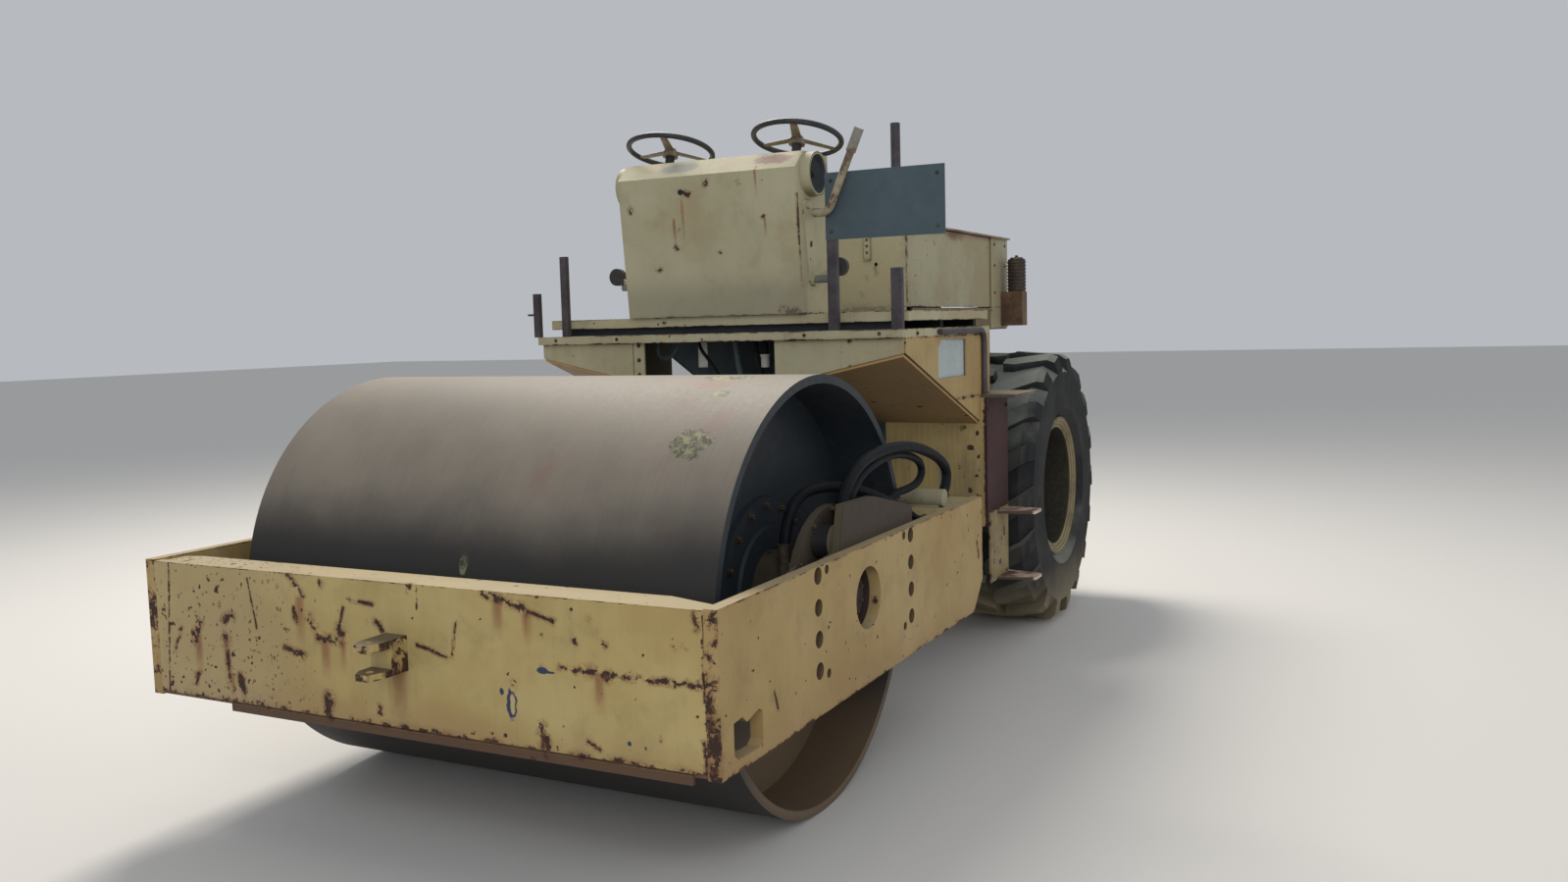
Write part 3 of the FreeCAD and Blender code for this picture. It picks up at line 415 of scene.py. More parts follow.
armPaint = wornPaint(
    "armCream", base="grey", chips=0.8, streaks=0.3, grime=0.3, seed=4.9,
    edges=(("z", 2.34, 0.012), ("z", 1.955, 0.010)),
    shades=(
        (0.9, (0.150, 0.165, 0.160), (("side", 0.483, 0.486), ("z", 2.002, 2.000))),
        (0.95, (0.024, 0.024, 0.030), (("side", 0.550, 0.554), ("z", 1.988, 1.992)))))
wear(armPaint, "console_arms")
consolePaint = wornPaint(
    "consoleCream", base="grey", chips=0.0, streaks=0.25, grime=0.06, seed=9.2, speckle=0.12,
    runs=((0.267, 2.49, 0.15, 0.010), (-0.174, 2.28, 0.14, 0.008), (0.300, 2.26, 0.10, 0.008)),
    shades=((0.5, (0.225, 0.212, 0.160), (("z", 2.06, 1.90), ("y", -0.50, -0.54))),), edges=(("z", 1.83, 0.012),),
    strokes=(
        ((-0.105, -0.611, 2.400), (-0.090, -0.611, 2.396), 0.010),
        ((0.004, -0.615, 2.440), (0.010, -0.615, 2.438), 0.011),
        ((-0.144, -0.595, 2.236), (-0.143, -0.595, 2.234), 0.009),
        ((-0.178, -0.587, 2.160), (-0.170, -0.587, 2.148), 0.008),
        ((-0.287, -0.577, 2.056), (-0.268, -0.577, 2.054), 0.008),
        ((0.180, -0.613, 2.428), (0.181, -0.613, 2.427), 0.008),
        ((0.293, -0.598, 2.273), (0.295, -0.598, 2.272), 0.008),
        ((-0.411, -0.605, 2.343), (-0.405, -0.605, 2.338), 0.011),
        ((0.36, -0.556, 1.845), (0.45, -0.556, 1.842), 0.012), ((0.468, -0.60, 2.36), (0.468, -0.57, 1.86), 0.005)),
    spots=(
        ((-0.15, -0.575, 2.520), (0.095, 0.06, 0.024), "greyPatch", 0.3),
        ((0.345, -0.57, 2.522), (0.090, 0.06, 0.026), "pinkPatch", 0.25),
        ((-0.126, -0.60, 2.30), (0.007, 0.04, 0.085), "stain", 0.8),
        ((-0.124, -0.611, 2.405), (0.016, 0.03, 0.014), "soot", 0.12)))
wear(consolePaint, "console_shell lamp_housings")
deckPaint = wornPaint(
    "deckCream", base="grey", chips=0.6, streaks=0.4, grime=0.45, seed=5.5,
    edges=(("z", 1.75, 0.008), ("z", 1.83, 0.009), ("z", 1.712, 0.010), ("z", 1.785, 0.008)))
wear(deckPaint, "platform_fascia lower_deck upper_deck")
hoodPaint = wornPaint(
    "hoodCream", base="grey", chips=0.2, streaks=0.35, grime=0.25, seed=12.7,
    edges=(("z", 2.3, 0.022), ("z", 1.86, 0.012)),
    strokes=(
        ((0.55, 0.515, 2.26), (0.55, 0.52, 2.12), 0.016), ((0.55, 0.515, 2.08), (0.55, 0.52, 1.90), 0.010),
        ((0.30, 0.5, 1.93), (0.302, 0.5, 1.928), 0.012), ((0.33, 0.5, 2.02), (0.331, 0.5, 2.02), 0.012),
        ((0.385, 0.5, 2.075), (0.385, 0.5, 2.04), 0.010), ((0.50, 0.5, 1.85), (0.20, 0.5, 1.845), 0.016),
        ((0.317, 0.49, 2.25), (0.317, 0.49, 2.11), 0.005), ((0.359, 0.49, 2.25), (0.359, 0.49, 2.11), 0.005),
        ((0.55, 0.60, 2.285), (0.55, 1.10, 2.285), 0.014), ((0.57, 0.52, 2.295), (0.57, 0.95, 2.295), 0.014)),
    # painted light lifts the front wall where it lies in shadow; painted shade darkens the sideways faces
    shades=(
        (0.50, (0.56, 0.53, 0.37), (("across", 0.4, 0.2), ("y", 0.53, 0.51), ("up", 0.5, 0.3))),
        (0.22, (0.235, 0.215, 0.140), (("across", 0.5, 0.7),))),
    spots=(
        ((0.55, 1.28, 2.290), (0.03, 0.16, 0.045), "rustLight", 0.5),
        ((0.55, 1.75, 2.292), (0.03, 0.30, 0.022), "pinkPatch", 0.5),
        *[((0.338, 0.492, z), (0.010, 0.02, 0.010), "rust", 0.2) for z in (2.148, 2.183, 2.215)],
        ((0.338, 0.480, 2.108), (0.024, 0.02, 0.008), "rust", 0.3)))
wear(hoodPaint, "hood_front hood_roof hood_corners hood_door_left hood_door_right")
# the platform walls' inner faces get painted shade, a dark blue-grey
wallPaint = wornPaint(
    "wallCream", base="flankShade", chips=0.5, streaks=0.4, grime=0.35, seed=2.2,
    shades=((0.9, (0.026, 0.035, 0.046), (("side", 0.961, 0.959),)),),
    edges=(("z", 1.71, 0.012), ("z", 1.405, 0.020), ("y", -0.590, 0.012)))
wear(wallPaint, "platform_sides")
# the slope guards get painted shade towards the middle, under the deck
guardPaint = wornPaint(
    "guardBrown", base="guard", chips=0.3, streaks=0.2, grime=0.2, seed=10.4,
    shades=((0.72, (0.020, 0.020, 0.020), (("side", 0.66, 0.32),)),))
wear(guardPaint, "slope_guards")
bodyPaint = wornPaint("bodyCream", chips=0.4, streaks=0.35, grime=0.4, seed=1.3)
wear(bodyPaint, "frame_rear_beam steer_barrel_left steer_barrel_right rear_weight")
blockPaint = wornPaint("blockCream", base="greyDull", chips=0.4, streaks=0.2, grime=0.5, seed=8.1)
wear(blockPaint, "hose_blocks")
shadePaint = wornPaint("underCream", base="under", chips=0.35, streaks=0.4, grime=0.8, seed=15.2)
wear(shadePaint, "chassis_rails chassis_neck rear_axle centre_pivot bay_walls hood_floor")
print("paints made")


def plainCoat(name, dark, light, scale, roughness, metallic, rusty, dusty, bumpy=0.2, specular=0.4):
    skin = Finish(name, specular, metallic)
    wide = skin.noise(scale, 5, 0.6)
    fine = skin.noise(scale * 9, 5, 0.65)
    colour = skin.layered(
        skin.mottled(wide, fine, (dark, light)),
        (skin.band(wide * 0.6 + fine * 0.4, 0.62 - 0.15 * rusty, 0.7) * rusty, tones["rustLight"]),
        (skin.band(skin.up, 0.4, 0.95) * dusty, tones["dust"]))
    return skin.finishWith(colour, roughness - 0.08 + 0.16 * fine, fine, bumpy, 0.0015)


# plain finishes: dark and light tone, scale, roughness, metallic, rust, dust, then bump and gloss where they differ
plainSpecs = {
    "postPaint": ((0.030, 0.026, 0.032), (0.072, 0.060, 0.066), 5.0, 0.55, 0.0, 0.25, 0.2),
    "boardPaint": ((0.050, 0.076, 0.090), (0.070, 0.104, 0.122), 2.0, 0.6, 0.0, 0.03, 0.1),
    "ledgeRust": ((0.085, 0.072, 0.058), (0.215, 0.165, 0.115), 9.0, 0.7, 0.1, 0.45, 0.4),
    "scraperSteel": ((0.060, 0.040, 0.030), (0.15, 0.10, 0.07), 9.0, 0.7, 0.2, 0.5, 0.4),
    "hoseRubber": ((0.004, 0.0055, 0.008), (0.010, 0.012, 0.016), 12.0, 0.62, 0.0, 0.0, 0.02, 0.2, 0.15),
    "rodSteel": ((0.30, 0.28, 0.26), (0.45, 0.43, 0.40), 8.0, 0.35, 0.8, 0.15, 0.1),
    # the bay paint is painted shade: a bluish grey for the bulkhead and gussets deep under the deck
    "bayShadePaint": ((0.095, 0.125, 0.155), (0.140, 0.175, 0.205), 4.0, 0.75, 0.0, 0.05, 0.1),
    "engineGrime": ((0.022, 0.021, 0.021), (0.055, 0.047, 0.040), 7.0, 0.7, 0.1, 0.3, 0.4),
    "shadowPaint": ((0.016, 0.020, 0.026), (0.030, 0.034, 0.040), 4.0, 0.7, 0.0, 0.1, 0.1),
    "boltSteel": ((0.040, 0.030, 0.024), (0.105, 0.075, 0.048), 14.0, 0.62, 0.3, 0.4, 0.2),
    "whitePlastic": ((0.40, 0.40, 0.36), (0.55, 0.55, 0.50), 8.0, 0.55, 0.0, 0.1, 0.0),
    "pipePaint": ((0.045, 0.070, 0.085), (0.075, 0.11, 0.125), 8.0, 0.5, 0.0, 0.1, 0.1),
}
coats = {name: plainCoat(name, *spec) for name, spec in plainSpecs.items()}
for name, wearers in {
    "postPaint": "posts tube_rails exhaust_stack", "boardPaint": "board", "ledgeRust": "ledges",
    "scraperSteel": "scraper_bar", "hoseRubber": "drum_hoses", "rodSteel": "steer_rod_left steer_rod_right",
    "bayShadePaint": "bay_bulkhead platform_gussets", "engineGrime": "engine steer_columns",
    "shadowPaint": "deck_mounts hood_grille",
}.items():
    wear(coats[name], wearers)


# crusts are lichen: middle and size
drumLook = {
    "film": ((0.184, 0.158, 0.126), (0.243, 0.208, 0.163)), "ring": (0.100, 0.086, 0.074),
    "red": (0.230, 0.130, 0.098), "scratch": (0.32, 0.28, 0.235), "top": (0.145, 0.124, 0.101),
    "low": (0.026, 0.025, 0.025), "crust": ((0.056, 0.060, 0.036), (0.265, 0.250, 0.135)),
    "crusts": (((0.795, -2.125, 1.400), (0.088, 0.075, 0.075)), ((0.70, -1.69, 1.595), (0.085, 0.055, 0.05)),
               ((0.775, -1.885, 1.548), (0.04, 0.03, 0.03)), ((0.02, -2.375, 0.99), (0.018, 0.02, 0.045))),
    "rust": (0.230, 0.130, 0.085), "rustSpot": ((0.70, -1.80, 1.575), (0.10, 0.06, 0.05)),
    "ends": ((0.022, 0.030, 0.038), (0.046, 0.046, 0.048)), "mudAndBounceLight": (0.170, 0.115, 0.066),
}


def drumSteel():
    # rolled steel: a grey-brown film, faint rings round the shell, reddish patches and lichen; painted shade on the
    # lower side; the ends and inside dark with painted shade, brown low down with mud and painted bounce light
    look = drumLook
    skin = Finish("drumSteel", 0.4, 0.1)
    rings = skin.noise(7.0, 5, 0.6, skin.stretched((14, 0.6, 0.6)))
    wide = skin.noise(1.3, 5, 0.6)
    patch = skin.noise(3.4, 6, 0.62, None, 0.5)
    fine = skin.noise(60, 5, 0.65)
    crumb = skin.noise(26, 5, 0.7)
    scratch = skin.noise(24, 3, 0.6, skin.stretched((6, 1.2, 1.2), (4, 2, 1)))
    ragged = (patch - 0.5) * 1.1 + (crumb - 0.5) * 1.5
    mossy = reduce(Signal.most, [skin.band(skin.spot(*place, ragged), 1.05, 0.9) for place in look["crusts"]])
    crust = skin.blend(skin.band(crumb, 0.42, 0.60), *look["crust"])
    # the ends and inside: painted shade, with a lighter brown low down that is mud and painted bounce light
    ends = skin.layered(
        skin.mottled(wide, crumb, look["ends"], 0.5, 0.4),
        (skin.band(skin.z + (wide - 0.5) * 0.4, 0.55, 0.15) * 0.85, look["mudAndBounceLight"]))
    inner = skin.band(skin.around(drumAxle), 0.790, 0.786)
    colour = skin.layered(
        skin.mottled(wide, rings, look["film"], 0.25, 0.34, 0.66),
        (skin.band(rings, 0.55, 0.80) * 0.18, look["ring"]),
        (skin.band(patch, 0.56, 0.70) * 0.5, look["red"]),
        (skin.band(scratch, 0.64, 0.74) * 0.15, look["scratch"]),
        (skin.band(skin.up, 0.74, 0.95) * 0.35, look["top"]),
        # the lower side is darkened: painted shade
        (skin.band(skin.up + (wide - 0.5) * 0.25, 0.60, 0.24) * 0.95, look["low"]),
        (mossy * skin.band(crumb + (fine - 0.5) * 0.6, 0.36, 0.46), crust),
        (skin.band(skin.spot(*look["rustSpot"], ragged * 1.9), 0.9, 0.7) * 0.6, look["rust"]),
        (inner.most(skin.band(skin.across, 0.7, 0.9) * 0.8), ends))
    height = fine * 0.6 + rings * 0.4 + mossy * crumb * 2.5
    return skin.finishWith(colour, 0.48 + 0.18 * wide + 0.14 * fine, height, 0.3, 0.0015)


wear(drumSteel(), "drum")
tyreLook = {"rubber": ((0.014, 0.015, 0.017), (0.036, 0.036, 0.036)), "tread": (0.105, 0.102, 0.090),
            "top": (0.235, 0.250, 0.215), "ribPitch": 0.02}


def tyreRubber():
    # greyer tread, pale dust on top, earth low down and fine ribs round the wall
    skin = Finish("dustyRubber", 0.25)
    fine = skin.noise(55, 5, 0.65)
    wide = skin.noise(3.5, 5, 0.6)
    radius = skin.around(wheelAxle)
    colour = skin.layered(
        skin.mottled(wide, fine, tyreLook["rubber"], 0.3),
        (skin.band(radius + (fine - 0.5) * 0.02, 0.755, 0.785) * 0.35, tyreLook["tread"]),
        (skin.band(skin.up + (wide - 0.5) * 0.8, 0.2, 0.8) * 0.8, tyreLook["top"]),
        (skin.band(skin.z + (wide - 0.5) * 0.3, 0.42, 0.05) * 0.6, tones["dust"]))
    saw = radius.maths("PINGPONG", radius - 0.42, tyreLook["ribPitch"])
    ribs = skin.band(saw, 0.002, 0.008) * skin.band(radius, 0.60, 0.45)
    return skin.finishWith(colour, 0.75 + 0.2 * fine, fine * 0.6 + ribs * 0.6, 0.4, 0.003)


wear(tyreRubber(), "tyre_left tyre_right")
# rings are rusty: radius and half width
rimLook = {"cream": ((0.270, 0.222, 0.112), (0.155, 0.128, 0.066)), "ring": (0.095, 0.058, 0.034),
           "dirtAndShade": ((0.018, 0.019, 0.016), (0.042, 0.038, 0.026)), "middle": (0.045, 0.038, 0.030),
           "rings": ((0.398, 0.005), (0.379, 0.004), (0.360, 0.006))}


def rimCoat():
    # cream flange with rusty rings; the barrel and the dished middle darkened by dirt and painted shade
    look = rimLook
    skin = Finish("rimCream", 0.3)
    fine = skin.noise(45, 5, 0.65)
    wide = skin.noise(5.0, 5, 0.6)
    radius = skin.around(wheelAxle) + (wide - 0.5) * 0.01
    wall = skin.band(radius, 0.362, 0.352) * skin.band(skin.across, 0.6, 0.4) * skin.band(skin.side, 1.052, 1.022)
    dirtAndShade = skin.blend(skin.band(fine, 0.4, 0.65), *look["dirtAndShade"])
    chip = skin.band(wide * 0.5 + fine * 0.5, 0.60, 0.62)
    rings = [(skin.band(abs(radius - ring) + (fine - 0.5) * 0.012, width, width * 0.4) * 0.7, look["ring"])
             for ring, width in look["rings"]]
    colour = skin.layered(
        skin.mottled(wide, fine, look["cream"]),
        (wall.most(skin.band(radius, 0.335, 0.331)) * 0.95, dirtAndShade), *rings,
        # the dished middle: dirt and painted shade
        (skin.band(radius, 0.26, 0.22) * 0.7, look["middle"]), (chip, tones["rust"]))
    return skin.finishWith(colour, 0.6 + 0.2 * fine, fine * 0.4 - chip * 0.4, 0.35, 0.002)


wear(rimCoat(), "rim_left rim_right")
tankLook = {"cream": ((0.400, 0.305, 0.132), (0.262, 0.200, 0.096)),
            "red": ((0.036, 0.0120, 0.0125), (0.060, 0.0190, 0.0190))}


def tankCoat():
    # cream front face with rust specks, worn red primer on the outer face
    skin = Finish("tankPaint", 0.3)
    fine = skin.noise(30, 6, 0.68)
    wide = skin.noise(4.0, 5, 0.6)
    run = skin.noise(6.0, 4, 0.6, skin.stretched((9, 9, 0.55)))
    small = skin.flecks(24, 0.55, 0.55, skin.warped(30, 0.04))
    red = skin.layered(skin.mottled(wide, fine, tankLook["red"]), (skin.band(run, 0.55, 0.75) * 0.4, tones["rust"]))
    outer = skin.band(skin.across, 0.6, 0.8).most(skin.band(skin.y, 0.46, 0.47))
    colour = skin.layered(
        skin.mottled(wide, run, tankLook["cream"], 0.6, 0.35, 0.75),
        (skin.band(fine + (wide - 0.5) * 0.3, 0.67, 0.69), tones["rust"]),
        (skin.band(small, 0.0, 0.04) * skin.band(skin.side, 0.80, 0.92), tones["rust"]),
        (skin.band(abs(skin.side - 1.0) + (fine - 0.5) * 0.03, 0.022, 0.012), red), (outer, red))
    return skin.finishWith(colour, 0.55 + 0.2 * fine, fine, 0.25, 0.0015)


wear(tankCoat(), "side_tanks")
# the treads' light tones are wear and painted highlight
stepLook = {"cream": ((0.290, 0.222, 0.100), (0.190, 0.145, 0.072)), "end": (0.600, 0.455, 0.360),
            "tread": ((0.090, 0.056, 0.040), (0.600, 0.440, 0.330))}


def stepCoat():
    # the hanger is chipped cream, the treads are lighter on their tops and outer ends, worn bare and with painted
    # highlight
    skin = Finish("stepPaint", 0.35)
    fine = skin.noise(34, 5, 0.65)
    wide = skin.noise(7.0, 5, 0.6)
    small = skin.flecks(26, 0.80, 0.66, skin.warped(30, 0.04))
    tread = skin.layered(
        skin.blend(skin.band(skin.up, 0.3, 0.8) * skin.band(wide, 0.36, 0.56), *stepLook["tread"]),
        (skin.band(skin.side, 1.184, 1.196) * skin.band(wide, 0.34, 0.44), stepLook["end"]))
    colour = skin.layered(
        skin.mottled(wide, fine, stepLook["cream"]), (skin.band(small, 0.0, 0.04), tones["rust"]),
        (skin.band(skin.side, 1.011, 1.014), tread))
    return skin.finishWith(colour, 0.5 + 0.2 * fine, fine, 0.3, 0.0015)


wear(stepCoat(), "steps")
sheetLook = {"pale": ((0.33, 0.38, 0.38), (0.44, 0.48, 0.48)), "inside": (0.022, 0.026, 0.032)}


def sheetCoat():
    # pale outside, painted shade on the face towards the chassis
    skin = Finish("palePanel", 0.4)
    wide = skin.noise(2.5, 5, 0.6)
    fine = skin.noise(40, 5, 0.65)
    pale = skin.mottled(wide, fine, sheetLook["pale"], 0.3)
    colour = skin.blend(skin.band(skin.side, 0.953, 0.950), pale, sheetLook["inside"])
    return skin.finishWith(colour, 0.5 + 0.1 * fine, fine, 0.1, 0.001)


wear(sheetCoat(), "side_sheets")
leverLook = {"beige": ((0.340, 0.290, 0.190), (0.215, 0.175, 0.115)), "bare": (0.10, 0.058, 0.036),
             "band": (0.115, 0.070, 0.048), "grip": (0.225, 0.220, 0.200)}


def leverCoat():
    # beige tube, bare and brown under the paler grip
    skin = Finish("leverPaint", 0.4)
    fine = skin.noise(50, 5, 0.65)
    wide = skin.noise(14, 5, 0.65)
    band = skin.band(skin.z + (wide - 0.5) * 0.05, 2.47, 2.49) * skin.band(skin.z, 2.530, 2.518)
    colour = skin.layered(
        skin.mottled(wide, fine, leverLook["beige"], 0.4, 0.38, 0.66),
        (skin.band(wide * 0.6 + fine * 0.4, 0.55, 0.60), leverLook["bare"]), (band * 0.7, leverLook["band"]),
        (skin.band(skin.z, 2.518, 2.530) * 0.8, leverLook["grip"]))
    return skin.finishWith(colour, 0.45 + 0.2 * fine, fine, 0.2, 0.001)


wear(leverCoat(), "control_lever")
filterLook = {"dark": ((0.024, 0.020, 0.020), (0.066, 0.046, 0.038)),
              "rusty": ((0.090, 0.050, 0.030), (0.20, 0.115, 0.06))}


def filterCoat():
    # dark canister on a rusty bracket
    skin = Finish("filterPaint", 0.35)
    fine = skin.noise(36, 5, 0.65)
    wide = skin.noise(8, 5, 0.6)
    rusty, dark = (skin.mottled(wide, fine, filterLook[key]) for key in ("rusty", "dark"))
    colour = skin.blend(skin.band(skin.z, 1.953, 1.956), rusty, dark)
    return skin.finishWith(colour, 0.55 + 0.2 * fine, fine, 0.3, 0.0015)


wear(filterCoat(), "air_filter")
# hub rows are z, radius, height and upper radius; spokes are round bars pressed flat
handWheel = {
    "foot": (0.345, -0.352, 2.552), "tilt": 15.0, "up": 0.0923, "ringRadius": 0.205, "grip": 0.013,
    "hub": ((-0.030, 0.038, 0.022, 0.036), (-0.008, 0.036, 0.018, 0.026)), "spokes": 3, "firstSpoke": 50.0,
    "spoke": (0.0468, 0.009, 1), "spokeEnds": (0.5, 0.36), "tan": ((0.150, 0.120, 0.085), (0.245, 0.200, 0.145)),
    "black": ((0.012, 0.013, 0.018), (0.030, 0.033, 0.042)),
}
leanOver = spun(-handWheel["tilt"], "X")


def wheelFoot(side):
    return Vector((side * handWheel["foot"][0], *handWheel["foot"][1:]))


def gripCoat():
    # black rings on weathered tan spokes
    skin = Finish("gripPlastic", 0.5)
    fine = skin.noise(60, 5, 0.65)
    wide = skin.noise(12, 4, 0.6)
    lean = leanOver @ Vector((0, 0, 1))
    far = reduce(Signal.least, [skin.stroke(tuple(wheelFoot(side) - lean * 0.2), tuple(wheelFoot(side) + lean * 0.4),
                                            1.0) for side in (1, -1)])
    tan = skin.mottled(wide, fine, handWheel["tan"], 0.4, 0.4, 0.65)
    black = skin.blend(skin.band(fine, 0.4, 0.7), *handWheel["black"])
    colour = skin.blend(skin.band(far, 0.189, 0.192), tan, black)
    return skin.finishWith(colour, 0.4 + 0.2 * fine, fine, 0.15, 0.001)


wheelGrip = gripCoat()
wear(wheelGrip, "steer_wheel_left steer_wheel_right")
print("coats made")


# pieces modelled here: each is one mesh at the origin that rides on a body
def makePiece(name, shape, body, material, slotName, *stands):
    bmesh.ops.remove_doubles(shape, verts=shape.verts, dist=0.00001)
    bmesh.ops.recalc_face_normals(shape, faces=shape.faces)
    mesh = bpy.data.meshes.new(name)
    shape.to_mesh(mesh)
    shape.free()
    mesh.shade_smooth()
    mesh.set_sharp_from_angle(angle=math.radians(35))
    mesh.materials.append(material)
    item = newObject(name, mesh)
    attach(item, body)
    if stands:
        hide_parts(*stands)


def addRound(shape, at, aim, radius, length, sides=20, tip=None):
    # a round or many-sided bar that starts at a point and runs along a direction
    middle = Vector(at) + Vector(aim).normalized() * (length / 2)
    bmesh.ops.create_cone(shape, cap_ends=True, segments=sides, radius1=radius, radius2=radius if tip is None else tip,
                          depth=length, matrix=Matrix.Translation(middle) @ pointed(aim))


# heights are shares of the bolt's height, widths shares of its size
boltShape = {"washer": 0.22, "head": 0.66, "cap": 0.12, "capLow": 0.94, "capTop": 0.78, "washerSides": 16}


def addBolt(shape, at, aim, size, height, washerWidth=1.45):
    # washer and hexagon head with a slight taper at its top
    way = Vector(aim).normalized()
    top = boltShape["washer"] + boltShape["head"]
    addRound(shape, at, way, size * washerWidth, height * boltShape["washer"], boltShape["washerSides"])
    addRound(shape, Vector(at) + way * height * boltShape["washer"], way, size, height * boltShape["head"], 6)
    addRound(shape, Vector(at) + way * height * top, way, size * boltShape["capLow"], height * boltShape["cap"], 6,
             size * boltShape["capTop"])


def addBoltCircle(shape, side, axle, circle):
    # bolts round an axle across the machine; they face outwards, or inwards where facing is -1
    turnStep = 2 * math.pi / circle["count"]
    for step in range(circle["count"]):
        angle = turnStep * (step + circle.get("start", 0))
        y = axle[0] + circle["radius"] * math.cos(angle)
        z = axle[1] + circle["radius"] * math.sin(angle)
        aim = (side * circle.get("facing", 1), 0, 0)
        addBolt(shape, (side * circle["x"], y, z), aim, circle["size"], circle["height"])
        if "stud" in circle:
            radius, length = circle["stud"]
            addRound(shape, (side * (circle["x"] + circle["height"]), y, z), aim, radius, length, 10)


def addLathe(shape, profile, at, aim, steps=40):
    # a profile of radius and height turned round an axis through a point
    stand = Matrix.Translation(at) @ pointed(aim)
    points = [shape.verts.new(stand @ Vector((radius, 0, height))) for radius, height in profile]
    edges = [shape.edges.new(pair) for pair in zip(points, points[1:])]
    bmesh.ops.spin(shape, geom=points + edges, cent=at, axis=aim, angle=2 * math.pi, steps=steps, use_merge=True)


def addTube(shape, route, radius, sides, smoothness=10):
    # a smooth hose along its route's control points
    data = bpy.data.curves.new("routeCurve", "CURVE")
    data.dimensions = "3D"
    data.resolution_u = smoothness
    data.bevel_depth = radius
    data.bevel_resolution = max(1, sides // 4 - 1)
    data.use_fill_caps = True
    line = data.splines.new("NURBS")
    line.points.add(len(route) - 1)
    for point, place in zip(line.points, route):
        point.co = (*place, 1)
    line.order_u = 3
    line.use_endpoint_u = True
    holder = bpy.data.objects.new("routeCurve", data)
    mesh = bpy.data.meshes.new_from_object(holder)
    shape.from_mesh(mesh)
    bpy.data.objects.remove(holder)
    bpy.data.curves.remove(data)
    bpy.data.meshes.remove(mesh)


# each hose's radius and route on the left; end rows are where along it, width as a share, length and sides
hoseSet = {
    "outer": (0.022, ((1.092, -1.632, 0.918), (1.092, -1.632, 1.230), (1.092, -1.020, 1.312),
                      (1.092, -0.438, 1.172), (1.092, -0.450, 1.024), (1.092, -0.560, 1.024))),
    "inner": (0.0165, ((1.092, -1.568, 0.918), (1.092, -1.568, 1.170), (1.070, -1.100, 1.270),
                       (1.050, -0.640, 1.200), (1.050, -0.650, 1.085), (1.040, -1.055, 1.085),
                       (1.040, -1.055, 1.012))),
    "lower": (0.021, ((0.930, -1.730, 0.928), (0.930, -1.730, 1.165), (1.000, -1.400, 1.188),
                      (1.092, -1.010, 1.045), (1.092, -0.810, 0.945), (1.092, -0.720, 0.945))),
}
hoseEnds = ((0.004, 1.25, 0.020, 6), (0.024, 1.12, 0.045, 16), (0.069, 1.18, 0.005, 16))


def drumHoses():
    tubes = bmesh.new()
    ends = bmesh.new()
    for radius, leftRoute in hoseSet.values():
        for side in (1, -1):
            route = [Vector((x * side, y, z)) for x, y, z in leftRoute]
            addTube(tubes, route, radius, 16, 12)
            for tip, inner in ((route[0], route[1]), (route[-1], route[-2])):
                way = (inner - tip).normalized()
                for along, wide, length, sides in hoseEnds:
                    addRound(ends, tip + way * along, way, radius * wide, length, sides)
    makePiece("drumHoseSet", tubes, "front_frame", coats["hoseRubber"], "black_rubber", "drum_hoses")
    makePiece("hoseEnds", ends, "front_frame", coats["boltSteel"], "worn_steel")


drumHoses()
# plate bolts: heads on the carrier plate in the side plate's holes, nuts and bolt ends behind it
plateBolts = {"columns": (-2.022, -1.178), "heights": (0.641, 0.747, 0.853, 0.959), "head": (1.155, 0.0205, 0.030),
              "washerWidth": 1.32, "nut": (1.125, 0.0205, 0.026), "end": (1.100, 0.008, 0.012)}
carrierCircles = (
    {"count": 8, "start": 0.5, "x": 1.140, "radius": 0.068, "size": 0.007, "height": 0.010},
    {"count": 12, "x": 1.030, "radius": 0.300, "facing": -1, "size": 0.011, "height": 0.018},
    {"count": 12, "x": 1.060, "radius": 0.316, "size": 0.009, "height": 0.014},
)


def frameBolts():
    heads = bmesh.new()
    headX, headSize, headHeight = plateBolts["head"]
    nutX, nutSize, nutHeight = plateBolts["nut"]
    endX, endRadius, endLength = plateBolts["end"]
    for side in (1, -1):
        for y, z in product(plateBolts["columns"], plateBolts["heights"]):
            addBolt(heads, (side * headX, y, z), (side, 0, 0), headSize, headHeight, plateBolts["washerWidth"])
            addBolt(heads, (side * nutX, y, z), (-side, 0, 0), nutSize, nutHeight)
            addRound(heads, (side * endX, y, z), (-side, 0, 0), endRadius, endLength, 10)
        for circle in carrierCircles:
            addBoltCircle(heads, side, drumAxle, circle)
    makePiece("frameBolts", heads, "front_frame", coats["boltSteel"], "worn_steel")


frameBolts()
drumCircle = {"count": 16, "x": 0.792, "radius": 0.315, "size": 0.012, "height": 0.018}


def drumBolts():
    heads = bmesh.new()
    for side in (1, -1):
        addBoltCircle(heads, side, drumAxle, drumCircle)
    makePiece("drumHeadBolts", heads, "drum", coats["boltSteel"], "worn_steel")


drumBolts()
# the wheel's nuts on their studs, the hub's bolts, and the hub's cap: x, radius, length and sides
wheelCircles = (
    {"count": 12, "x": 0.685, "radius": 0.176, "size": 0.015, "height": 0.024, "stud": (0.009, 0.014)},
    {"count": 8, "start": 0.5, "x": 0.839, "radius": 0.085, "size": 0.008, "height": 0.010},
)
hubCap = (0.838, 0.045, 0.012, 24)


def wheelNuts(name, side, body):
    heads = bmesh.new()
    for circle in wheelCircles:
        addBoltCircle(heads, side, wheelAxle, circle)
    addRound(heads, (side * hubCap[0], *wheelAxle), (side, 0, 0), *hubCap[1:])
    makePiece(name, heads, body, coats["boltSteel"], "worn_steel")


wheelNuts("wheelNutsLeft", 1, "wheel_left")
wheelNuts("wheelNutsRight", -1, "wheel_right")


